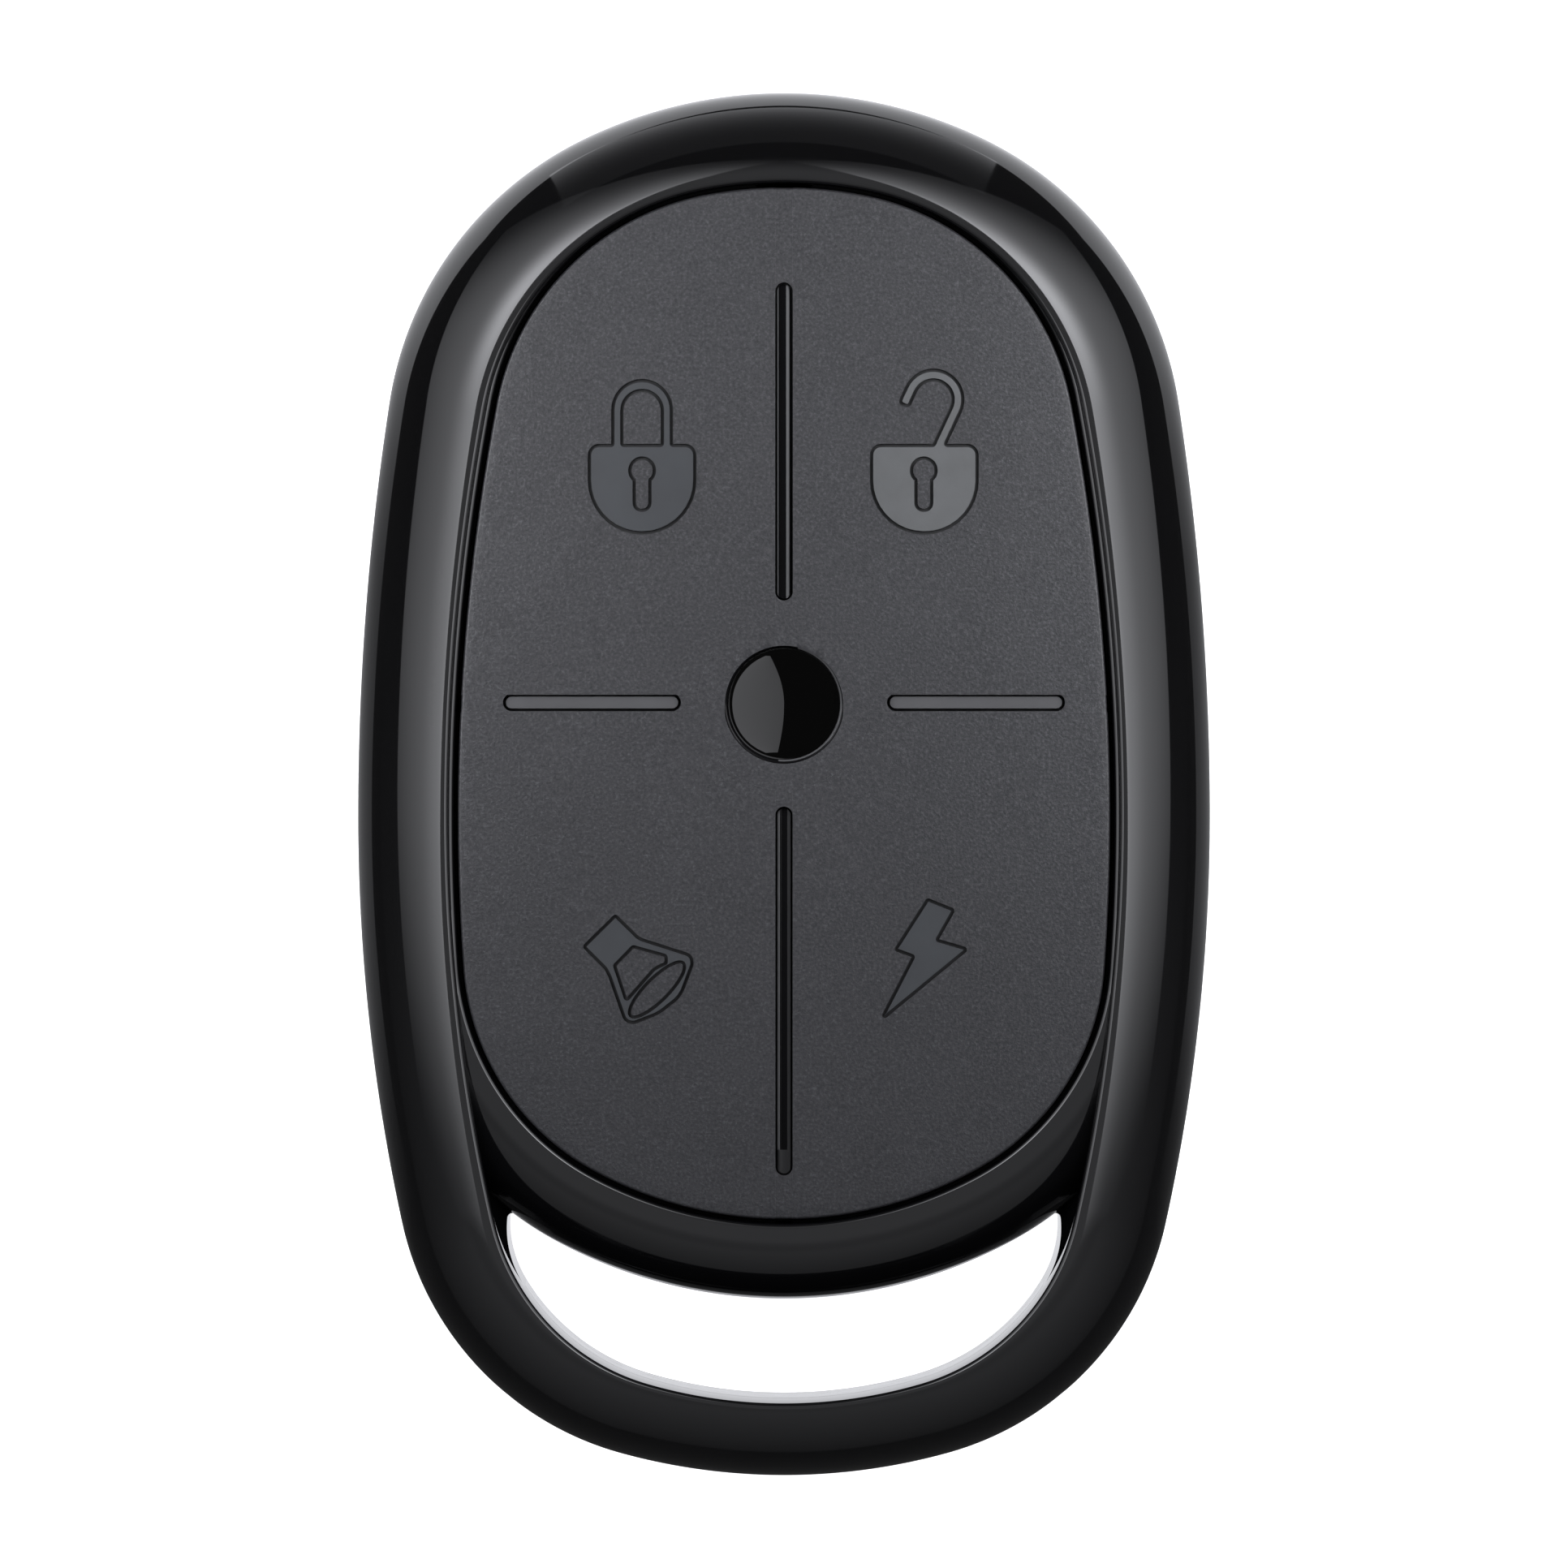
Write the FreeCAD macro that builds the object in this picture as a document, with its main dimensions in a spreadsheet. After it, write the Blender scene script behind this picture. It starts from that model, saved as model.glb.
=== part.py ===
# Garage door remote with four keys, modelled in millimetres.
# X runs across the remote, Y from the key-ring slot up to the rounded top, Z out of the key side.
# The origin lies under the middle of the case, on its flat back.
import FreeCAD, Part
import math
import os
import Sketcher

os.makedirs("parts", exist_ok=True)
doc = FreeCAD.newDocument("GarageRemote")
Vector = FreeCAD.Vector
upward = Vector(0, 0, 1)

# Driving dimensions
sheetRows = [
    # case outline
    ("caseWidth", 40.0),
    ("caseLength", 65.0),
    ("waistDrop", 1.5),
    ("caseTopRadius", 21.5),
    ("caseTopArcInset", 10.44),
    ("caseSideRadius", 130.0),
    ("caseLowSideRadius", 90.0),
    ("caseLowArcInset", 12.28),
    ("caseBottomRadius", 28.9),
    # key field outline
    ("rimSide", 4.8),
    ("rimTop", 4.65),
    ("slotEndToField", 12.2),
    ("fieldTopRadius", 19.6),
    ("fieldTopArcInset", 11.47),
    ("fieldSideRadius", 104.0),
    ("fieldLowSideRadius", 100.0),
    ("fieldLowArcInset", 6.37),
    ("fieldBottomRadius", 18.6),
    # bezel, bridge and slot
    ("fieldGap", 0.3),
    ("bezelLedge", 0.12),
    ("slotRim", 3.6),
    ("slotLowSideRadius", 85.0),
    ("slotLowArcInset", 9.23),
    ("slotBottomRadius", 22.8),
    ("bridgeWidth", 3.85),
    ("podOverlap", 0.06),
    # roundings
    ("crownRadius", 350.0),
    ("ringProud", 0.5),
    ("ringRound", 4.6),
    ("bridgeRound", 3.4),
    ("bezelRound", 0.4),
    ("backRound", 2.0),
    ("slotRound", 0.4),
    ("keyRound", 0.2),
    # walls and heights
    ("backWall", 1.5),
    ("frontSlotWall", 0.95),
    ("rearSlotWall", 1.75),
    ("tongueHeight", 0.9),
    ("tongueGap", 0.08),
    ("partingOverBoard", 0.5),
    ("crownOverRoof", 2.1),
    # screws
    ("topScrewInset", 3.1),
    ("lowScrewInset", 4.3),
    ("lowScrewRise", 2.7),
    ("screwBossRadius", 1.6),
    ("bossGap", 0.35),
    ("screwHeadRadius", 1.3),
    ("screwHeadHeight", 0.9),
    ("screwHeadSunk", 0.2),
    ("screwRadius", 0.78),
    ("screwReach", 6.4),
    ("screwGap", 0.17),
    ("recessLength", 1.56),
    ("recessWidth", 0.32),
    ("recessDepth", 0.45),
    ("pilotGap", 0.02),
    # keys
    ("keyTravel", 0.4),
    ("keyStopGap", 0.05),
    ("keyFlangeHeight", 0.75),
    ("keyFlangeWidth", 0.9),
    ("keyLiftGap", 0.1),
    ("keyWall", 1.2),
    ("lidDepth", 1.9),
    ("plungerRadius", 1.2),
    ("keySideGap", 0.08),
    # key frame
    ("frameThickness", 0.8),
    ("frameInset", 0.3),
    ("frameRimInner", 1.4),
    ("plungerHoleGap", 0.5),
    ("grooveWidth", 0.82),
    ("grooveDepth", 0.2),
    ("grooveStart", 4.8),
    ("grooveSideInset", 2.1),
    ("grooveTopInset", 4.45),
    ("grooveLowInset", 2.05),
    ("webEndInset", 0.12),
    ("footRadius", 0.8),
    ("sideFootInset", 1.2),
    ("sideFootUp", 5.0),
    ("topFootInset", 3.35),
    ("lowFootInset", 1.3),
    # lens
    ("lensUp", 3.75),
    ("lensRadius", 2.55),
    ("lensGap", 0.06),
    ("lensProud", 0.3),
    ("lensSag", 0.45),
    ("lensFlangeRadius", 3.1),
    ("lensFlangeHeight", 0.5),
    ("lensBossWall", 1.35),
    ("boreRound", 0.2),
    # board and switches
    ("boardThickness", 1.0),
    ("boardMargin", 1.6),
    ("frameOverBoard", 1.4),
    ("switchAcross", 6.6),
    ("topSwitchUp", 12.5),
    ("lowSwitchDown", 8.5),
    ("switchWidth", 5.2),
    ("switchBaseHeight", 1.0),
    ("switchRecess", 0.65),
    ("switchCoverThickness", 0.2),
    ("switchLegWidth", 1.2),
    ("stemRadius", 1.0),
    ("stemHeight", 1.9),
    ("stemFlangeRadius", 1.4),
    ("stemFlangeHeight", 0.3),
    ("stemGap", 0.1),
    ("stemLiftGap", 0.05),
    ("preTravel", 0.16),
    ("postRadius", 1.2),
    ("pegRadius", 0.6),
    ("pegGap", 0.08),
    ("pegHeight", 1.2),
    ("topPegInset", 3.2),
    ("topPegDrop", 8.85),
    ("lowPegInset", 2.4),
    ("lowPegRise", 11.3),
    # coin cell and contacts
    ("cellRadius", 10.0),
    ("cellHeight", 3.2),
    ("cellUp", 3.0),
    ("canWall", 0.25),
    ("canHeight", 2.75),
    ("canLip", 0.8),
    ("capRadius", 8.85),
    ("capSkirtStart", 0.35),
    ("clipUnderGap", 0.4),
    ("clipThickness", 0.25),
    ("clipSideGap", 0.3),
    ("clipFoot", 1.6),
    ("clipWidth", 6.0),
    ("contactThickness", 0.15),
    ("contactRadius", 4.0),
    # small parts on the board
    ("trackStart", 0.2),
    ("trackWidth", 0.8),
    ("trackHeight", 0.07),
    ("trackOpening", 4.8),
    ("chipLength", 4.9),
    ("chipDepth", 3.9),
    ("chipHeight", 1.2),
    ("chipRise", 5.8),
    ("leadPitch", 1.27),
    ("leadWidth", 0.4),
    ("leadReach", 1.0),
    ("leadThickness", 0.2),
    ("resonatorSide", 3.8),
    ("resonatorHeight", 1.2),
    ("resonatorOverLens", 7.25),
    ("transistorDrop", 10.85),
    ("transistorLength", 2.9),
    ("transistorDepth", 1.3),
    ("transistorHeight", 1.0),
    ("lightLength", 2.0),
    ("lightDepth", 1.25),
    ("lightHeight", 0.7),
    ("chipPartLength", 1.6),
    ("chipPartDepth", 0.8),
    ("chipPartHeight", 0.5),
    ("chipPartPitch", 2.2),
    ("chipPartsUnderLens", 7.75),
]

sheet = doc.addObject("Spreadsheet::Sheet", "Sizes")
for row, (alias, value) in enumerate(sheetRows, start=1):
    sheet.set("A%d" % row, alias)
    sheet.set("B%d" % row, str(value))
    sheet.setAlias("B%d" % row, alias)
doc.recompute()


class Length:
    # A length together with the sheet expression that gives it.
    def __init__(self, value, text):
        self.value = value
        self.text = text

    def __add__(self, other):
        other = asLength(other)
        return Length(self.value + other.value, "(%s + %s)" % (self.text, other.text))

    def __sub__(self, other):
        other = asLength(other)
        return Length(self.value - other.value, "(%s - %s)" % (self.text, other.text))

    def __mul__(self, factor):
        factor = asLength(factor)
        return Length(self.value * factor.value, "(%s * %s)" % (self.text, factor.text))

    def __truediv__(self, factor):
        factor = asLength(factor)
        return Length(self.value / factor.value, "(%s / %s)" % (self.text, factor.text))

    def __neg__(self):
        return self * -1


def asLength(number):
    if isinstance(number, Length):
        return number
    return Length(float(number), "%s" % float(number))


def size(alias):
    return Length(float(sheet.get(alias)), "Sizes.%s" % alias)


zero = asLength(0)
domeSwing = 24
edgeSlack = 0.01
outlineSlack = 0.02
angleSlack = 0.001
edgeSamples = (0, 0.35, 0.7, 1)


class Oval:
    # An outline of ten tangent arcs, the same on the left and on the right.
    # upper and lower each hold the end arc's radius, the X where it hands over to the corner arc
    # and the side arc's radius; the corner arc follows from them.
    def __init__(self, half, top, bottom, waist, upper, lower):
        self.half = half
        self.top = top
        self.bottom = bottom
        self.waist = waist
        self.upper = upper
        self.lower = lower

    def grown(self, margin):
        margin = asLength(margin)
        quarters = []
        for endRadius, joint, sideRadius in (self.upper, self.lower):
            grownEnd = endRadius + margin
            quarters.append((grownEnd, joint * grownEnd / endRadius, sideRadius + margin))
        return Oval(self.half + margin, self.top + margin, self.bottom - margin, self.waist, *quarters)

    def quarter(self, lengths, reach):
        # Centres, radii and joint angles of one quarter, in axes at the waist with Y towards the end.
        endRadius, joint, sideRadius = [length.value for length in lengths]
        endAngle = math.acos(joint / endRadius)
        towards = Vector(math.cos(endAngle), math.sin(endAngle), 0)
        endCentre = Vector(0, reach - endRadius, 0)
        sideCentre = Vector(self.half.value - sideRadius, 0, 0)
        jointFromSide = endCentre + towards * endRadius - sideCentre
        spare = sideRadius ** 2 - jointFromSide.dot(jointFromSide)
        cornerRadius = spare / (2 * (sideRadius - jointFromSide.dot(towards)))
        cornerCentre = endCentre + towards * (endRadius - cornerRadius)
        sideTurn = cornerCentre - sideCentre
        sideAngle = math.atan2(sideTurn.y, sideTurn.x)
        return [(sideCentre, sideRadius, 0, sideAngle), (cornerCentre, cornerRadius, sideAngle, endAngle),
                (endCentre, endRadius, endAngle, math.pi - endAngle)]

    def arcs(self):
        # Centre, radius, start and end angle of each arc, anticlockwise from the right waist.
        waist = self.waist.value
        upper = self.quarter(self.upper, self.top.value - waist)
        lower = self.quarter(self.lower, waist - self.bottom.value)
        turn = 2 * math.pi
        half = math.pi
        right = [(centre.x, waist + centre.y, radius, start, end) for centre, radius, start, end in upper]
        left = [(-x, y, radius, half - end, half - start) for x, y, radius, start, end in right[1::-1]]
        lowLeft = [(-centre.x, waist - centre.y, radius, half + start, half + end)
                   for centre, radius, start, end in lower]
        lowRight = [(-x, y, radius, 3 * half - end, 3 * half - start)
                    for x, y, radius, start, end in lowLeft[1::-1]]
        return right + left + lowLeft + lowRight

    def carries(self, point):
        # True when the point, seen from above, lies on the outline.
        for x, y, radius, start, end in self.arcs():
            offset = point - Vector(x, y, point.z)
            angle = math.atan2(offset.y, offset.x) % (2 * math.pi)
            onArc = start - angleSlack <= angle <= end + angleSlack
            if onArc and abs(offset.Length - radius) < outlineSlack:
                return True
        return False


waist = -size("waistDrop")
caseHalf = size("caseWidth") / 2
caseEnd = size("caseLength") / 2
case = Oval(caseHalf, caseEnd, -caseEnd, waist,
            (size("caseTopRadius"), caseHalf - size("caseTopArcInset"), size("caseSideRadius")),
            (size("caseBottomRadius"), caseHalf - size("caseLowArcInset"), size("caseLowSideRadius")))
fieldHalf = caseHalf - size("rimSide")
fieldTop = caseEnd - size("rimTop")
fieldBottom = size("slotEndToField") - caseEnd
field = Oval(fieldHalf, fieldTop, fieldBottom, waist,
             (size("fieldTopRadius"), fieldHalf - size("fieldTopArcInset"), size("fieldSideRadius")),
             (size("fieldBottomRadius"), fieldHalf - size("fieldLowArcInset"), size("fieldLowSideRadius")))
fieldOpening = field.grown(size("fieldGap"))
bezelUpper = fieldOpening.grown(size("bezelLedge"))
bezelLower = (size("slotBottomRadius"), bezelUpper.half - size("slotLowArcInset"),
              size("slotLowSideRadius"))
bezel = Oval(bezelUpper.half, bezelUpper.top, size("slotRim") - caseEnd, waist, bezelUpper.upper, bezelLower)
pod = field.grown(size("bridgeWidth"))
podTrim = bezel.grown(size("slotRound") + size("podOverlap"))
frontCavity = pod.grown(-size("frontSlotWall"))
rearCavity = pod.grown(-size("rearSlotWall"))
boardOutline = field.grown(size("boardMargin"))

# Heights above the back
cellBottom = size("backWall") + size("clipUnderGap") + size("clipThickness")
boardBottom = cellBottom + size("cellHeight") + size("contactThickness")
boardTop = boardBottom + size("boardThickness")
parting = boardBottom + size("partingOverBoard")
frameBottom = boardTop + size("frameOverBoard")
frameTop = frameBottom + size("frameThickness")
flangeBottom = frameTop + size("keyTravel") + size("keyStopGap")
flangeTop = flangeBottom + size("keyFlangeHeight")
roof = flangeTop + size("keyLiftGap")
keyCrown = roof + size("crownOverRoof")
ringCrown = keyCrown + size("ringProud")
stemTop = boardTop + size("stemHeight")
plungerBottom = stemTop + size("preTravel")
lidUnderside = keyCrown - size("lidDepth")
screwSeat = size("screwHeadSunk") + size("screwHeadHeight")

# Places seen from above
lensUp = size("lensUp")
topScrewUp = caseEnd - size("topScrewInset")
lowScrewAcross = caseHalf - size("lowScrewInset")
lowScrewUp = fieldBottom + size("lowScrewRise")
screwPlaces = [
    ("case_screw_top", zero, topScrewUp),
    ("case_screw_left", -lowScrewAcross, lowScrewUp),
    ("case_screw_right", lowScrewAcross, lowScrewUp),
]
keyPlaces = [
    ("lock", -1, 1, -size("switchAcross"), size("topSwitchUp")),
    ("unlock", 1, 1, size("switchAcross"), size("topSwitchUp")),
    ("horn", -1, -1, -size("switchAcross"), -size("lowSwitchDown")),
    ("flash", 1, -1, size("switchAcross"), -size("lowSwitchDown")),
]
topPegAcross = fieldHalf - size("topPegInset")
lowPegAcross = fieldHalf - size("lowPegInset")
topPegUp = fieldTop - size("topPegDrop")
lowPegUp = fieldBottom + size("lowPegRise")
postPlaces = [
    (-topPegAcross, topPegUp),
    (topPegAcross, topPegUp),
    (-lowPegAcross, lowPegUp),
    (lowPegAcross, lowPegUp),
]
sideFootAcross = fieldHalf - size("sideFootInset")
footPlaces = [
    (-sideFootAcross, size("sideFootUp")),
    (sideFootAcross, size("sideFootUp")),
    (zero, fieldTop - size("topFootInset")),
    (zero, fieldBottom + size("lowFootInset")),
]

nodes = {}


# Sketch and feature helpers
def newBody(name):
    body = doc.addObject("PartDesign::Body", name)
    body.Label = name
    return body


def newSketch(body, name, lift=zero, role="XY_Plane"):
    sketch = body.newObject("Sketcher::SketchObject", name)
    plane = [item for item in body.Origin.OriginFeatures if item.Role == role][0]
    sketch.AttachmentSupport = (plane, "")
    sketch.MapMode = "FlatFace"
    sketch.setExpression("AttachmentOffset.Base.z", lift.text)
    return sketch


def bind(sketch, kind, length, *points):
    number = sketch.addConstraint(Sketcher.Constraint(kind, *points, length.value))
    sketch.setExpression("Constraints[%d]" % number, length.text)


def settle(feature):
    # Recomputes the model and stops at a feature that failed.
    doc.recompute()
    if "Invalid" in feature.State or "Error" in feature.State:
        raise RuntimeError("%s failed: %s" % (feature.Name, feature.getStatusString()))
    return feature


def placePoint(sketch, element, end, x, y):
    # Ties a point to its distances from the origin of the sketch.
    if x is zero:
        sketch.addConstraint(Sketcher.Constraint("PointOnObject", element, end, -2))
    else:
        bind(sketch, "DistanceX", x, -1, 1, element, end)
    if y is zero:
        sketch.addConstraint(Sketcher.Constraint("PointOnObject", element, end, -1))
    else:
        bind(sketch, "DistanceY", y, -1, 1, element, end)


def addOval(sketch, oval):
    first = sketch.GeometryCount
    for x, y, radius, start, end in oval.arcs():
        sketch.addGeometry(Part.ArcOfCircle(Part.Circle(Vector(x, y, 0), upward, radius), start, end))
    for step in range(10):
        here = first + step
        after = first + (step + 1) % 10
        joint = "Coincident" if step in (4, 9) else "Tangent"
        sketch.addConstraint(Sketcher.Constraint(joint, here, 2, after, 1))
    endRadius, joint, sideRadius = oval.upper
    lowEndRadius, lowJoint, lowSideRadius = oval.lower
    for step, mirrored in [(0, 4), (1, 3), (9, 5), (8, 6)]:
        sketch.addConstraint(Sketcher.Constraint("Equal", first + step, first + mirrored))
    bind(sketch, "Radius", sideRadius, first)
    bind(sketch, "Radius", endRadius, first + 2)
    bind(sketch, "Radius", lowSideRadius, first + 9)
    bind(sketch, "Radius", lowEndRadius, first + 7)
    bind(sketch, "DistanceX", joint, -1, 1, first + 1, 2)
    bind(sketch, "DistanceX", lowJoint, -1, 1, first + 8, 1)
    placePoint(sketch, first + 2, 3, zero, oval.top - endRadius)
    placePoint(sketch, first + 7, 3, zero, oval.bottom + lowEndRadius)
    placePoint(sketch, first, 3, oval.half - sideRadius, oval.waist)
    sketch.addConstraint(Sketcher.Constraint("Symmetric", first, 3, first + 4, 3, -2))
    for centre, end in [((first, 3), (first, 1)), ((first + 4, 3), (first + 4, 2)),
                        ((first, 3), (first + 9, 3)), ((first + 4, 3), (first + 5, 3))]:
        sketch.addConstraint(Sketcher.Constraint("Horizontal", centre[0], centre[1], end[0], end[1]))


def addCircle(sketch, x, y, radius):
    circle = Part.Circle(Vector(x.value, y.value, 0), upward, radius.value)
    number = sketch.addGeometry(circle)
    placePoint(sketch, number, 3, x, y)
    bind(sketch, "Radius", radius, number)


def addPolygon(sketch, corners):
    first = sketch.GeometryCount
    count = len(corners)
    points = [Vector(x.value, y.value, 0) for x, y in corners]
    for step in range(count):
        sketch.addGeometry(Part.LineSegment(points[step], points[(step + 1) % count]))
    for step in range(count):
        after = first + (step + 1) % count
        sketch.addConstraint(Sketcher.Constraint("Coincident", first + step, 2, after, 1))
    for step, (x, y) in enumerate(corners):
        placePoint(sketch, first + step, 1, x, y)


def addRectangle(sketch, left, low, right, high):
    addPolygon(sketch, [(left, low), (right, low), (right, high), (left, high)])


def addPad(body, name, sketch, length, midplane=False):
    pad = body.newObject("PartDesign::Pad", name)
    pad.Profile = sketch
    pad.Midplane = midplane
    pad.setExpression("Length", length.text)
    return settle(pad)


def addPocket(body, name, sketch, length, upwards):
    before = body.Shape.Volume
    pocket = body.newObject("PartDesign::Pocket", name)
    pocket.Profile = sketch
    pocket.Reversed = upwards
    pocket.setExpression("Length", length.text)
    settle(pocket)
    if body.Shape.Volume > before - 0.001:
        raise RuntimeError("%s of %s cuts nothing" % (name, body.Label))
    return pocket


def addDome(body, name, crown):
    # Cuts the body's top to the large sphere whose highest point is at the crown height.
    # The profile swings about a line through the sphere's centre, so the sphere has no pole up there.
    radius = size("crownRadius")
    reach = size("caseWidth")
    centreHeight = crown - radius
    high = crown + size("crownOverRoof") * 2
    edgeHeight = centreHeight.value + math.sqrt(radius.value ** 2 - reach.value ** 2)
    rightLow = Vector(reach.value, edgeHeight, 0)
    rightHigh = Vector(reach.value, high.value, 0)
    leftHigh = Vector(-reach.value, high.value, 0)
    leftLow = Vector(-reach.value, edgeHeight, 0)
    startAngle = math.atan2(edgeHeight - centreHeight.value, reach.value)
    sketch = newSketch(body, name + "Profile", role="XZ_Plane")
    circle = Part.Circle(Vector(0, centreHeight.value, 0), upward, radius.value)
    arc = sketch.addGeometry(Part.ArcOfCircle(circle, startAngle, math.pi - startAngle))
    left = sketch.addGeometry(Part.LineSegment(leftLow, leftHigh))
    top = sketch.addGeometry(Part.LineSegment(leftHigh, rightHigh))
    right = sketch.addGeometry(Part.LineSegment(rightHigh, rightLow))
    for one, two in [((arc, 2), (left, 1)), ((left, 2), (top, 1)), ((top, 2), (right, 1)),
                     ((right, 2), (arc, 1))]:
        sketch.addConstraint(Sketcher.Constraint("Coincident", one[0], one[1], two[0], two[1]))
    for side in (left, right):
        sketch.addConstraint(Sketcher.Constraint("Vertical", side))
    bind(sketch, "Radius", radius, arc)
    placePoint(sketch, arc, 3, zero, centreHeight)
    placePoint(sketch, top, 1, -reach, high)
    placePoint(sketch, top, 2, reach, high)
    axisStart = Vector(-reach.value, centreHeight.value, 0)
    axisEnd = Vector(reach.value, centreHeight.value, 0)
    axis = sketch.addGeometry(Part.LineSegment(axisStart, axisEnd), True)
    placePoint(sketch, axis, 1, -reach, centreHeight)
    placePoint(sketch, axis, 2, reach, centreHeight)
    groove = body.newObject("PartDesign::Groove", name)
    groove.Profile = sketch
    groove.ReferenceAxis = (sketch, ["Axis0"])
    groove.Midplane = True
    groove.Angle = domeSwing
    return settle(groove)


def addFillet(body, name, radius, test):
    # Rounds each edge whose sampled points all pass the test.
    base = body.Tip
    chosen = []
    for number, edge in enumerate(base.Shape.Edges, start=1):
        first, last = edge.ParameterRange
        points = [edge.valueAt(first + (last - first) * share) for share in edgeSamples]
        if all(test(point) for point in points):
            chosen.append("Edge%d" % number)
    if not chosen:
        raise RuntimeError("%s of %s finds no edge" % (name, body.Label))
    fillet = body.newObject("PartDesign::Fillet", name)
    fillet.Base = (base, chosen)
    fillet.setExpression("Radius", radius.text)
    return settle(fillet)


def addRevolution(body, name, corners):
    sketch = newSketch(body, name + "Profile", role="XZ_Plane")
    addPolygon(sketch, corners)
    turned = body.newObject("PartDesign::Revolution", name)
    turned.Profile = sketch
    turned.ReferenceAxis = (sketch, ["V_Axis"])
    turned.Angle = 360
    return settle(turned)


def fuseBody(body, name, tool):
    fused = body.newObject("PartDesign::Boolean", name)
    fused.Type = "Fuse"
    fused.addObject(tool)
    return settle(fused)


def placeAt(item, x, y, z):
    item.setExpression("Placement.Base.x", x.text)
    item.setExpression("Placement.Base.y", y.text)
    item.setExpression("Placement.Base.z", z.text)


def addBox(name, x, y, low, length, depth, height):
    # A box centred on x and y that stands on the height low.
    box = doc.addObject("Part::Box", name)
    box.setExpression("Length", length.text)
    box.setExpression("Width", depth.text)
    box.setExpression("Height", height.text)
    placeAt(box, x - length / 2, y - depth / 2, low)
    return box


def addCylinder(name, x, y, low, radius, height):
    cylinder = doc.addObject("Part::Cylinder", name)
    cylinder.setExpression("Radius", radius.text)
    cylinder.setExpression("Height", height.text)
    placeAt(cylinder, x, y, low)
    return cylinder


def fuseAll(name, pieces):
    fused = doc.addObject("Part::MultiFuse", name)
    fused.Shapes = pieces
    fused.Refine = True
    return fused


def cutFrom(name, base, tool):
    cut = doc.addObject("Part::Cut", name)
    cut.Base = base
    cut.Tool = tool
    return cut


def addNode(name, item):
    item.Label = name
    nodes[name] = item


# Front shell: the pillow-shaped ring, the bridge beside the slot and the opening for the keys
def makePod(name, low, high, domed):
    body = newBody(name)
    outline = newSketch(body, name + "Outline", low)
    addOval(outline, pod)
    addPad(body, name + "Pad", outline, high - low)
    if domed:
        addDome(body, name + "Dome", keyCrown)
        addFillet(body, name + "Shoulder", size("bridgeRound"),
                  lambda point: pod.carries(point) and point.z > low.value + edgeSlack)
    else:
        addFillet(body, name + "Edge", size("slotRound"),
                  lambda point: pod.carries(point) and point.z < low.value + edgeSlack)
    trim = newSketch(body, name + "Trim", low)
    wide = size("caseWidth")
    long = size("caseLength")
    addRectangle(trim, -wide, -long, wide, long)
    addOval(trim, podTrim)
    addPocket(body, name + "Trimmed", trim, high - low, True)
    return body


def makeFrontShell():
    body = newBody("front_shell")
    outline = newSketch(body, "FrontOutline", parting)
    addOval(outline, case)
    addPad(body, "FrontPad", outline, ringCrown - parting)
    addDome(body, "RingDome", ringCrown)
    addFillet(body, "RingRound", size("ringRound"),
              lambda point: case.carries(point) and point.z > parting.value + edgeSlack)
    opening = newSketch(body, "BezelOpening", parting)
    addOval(opening, bezel)
    addPocket(body, "Bezel", opening, ringCrown - parting, True)
    addFillet(body, "BezelRound", size("bezelRound"),
              lambda point: bezel.carries(point) and point.z > parting.value + edgeSlack)
    fuseBody(body, "BridgeFused", makePod("front_pod", parting, keyCrown, True))
    keyOpening = newSketch(body, "KeyOpening", parting)
    addOval(keyOpening, fieldOpening)
    addPocket(body, "KeyOpeningCut", keyOpening, ringCrown - parting, True)
    cavity = newSketch(body, "FrontCavity", parting)
    addOval(cavity, frontCavity)
    addPocket(body, "FrontCavityCut", cavity, roof - parting, True)
    boss = newSketch(body, "FrontBoss", parting)
    addCircle(boss, zero, topScrewUp, size("screwBossRadius"))
    addPad(body, "FrontBossPad", boss, roof - parting)
    pilots = newSketch(body, "PilotHoles", parting)
    for name, x, y in screwPlaces:
        addCircle(pilots, x, y, size("screwRadius") + size("pilotGap"))
    depth = screwSeat + size("screwReach") - parting + size("bossGap")
    addPocket(body, "PilotHolesCut", pilots, depth, True)
    addNode("front_shell", body)


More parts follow.
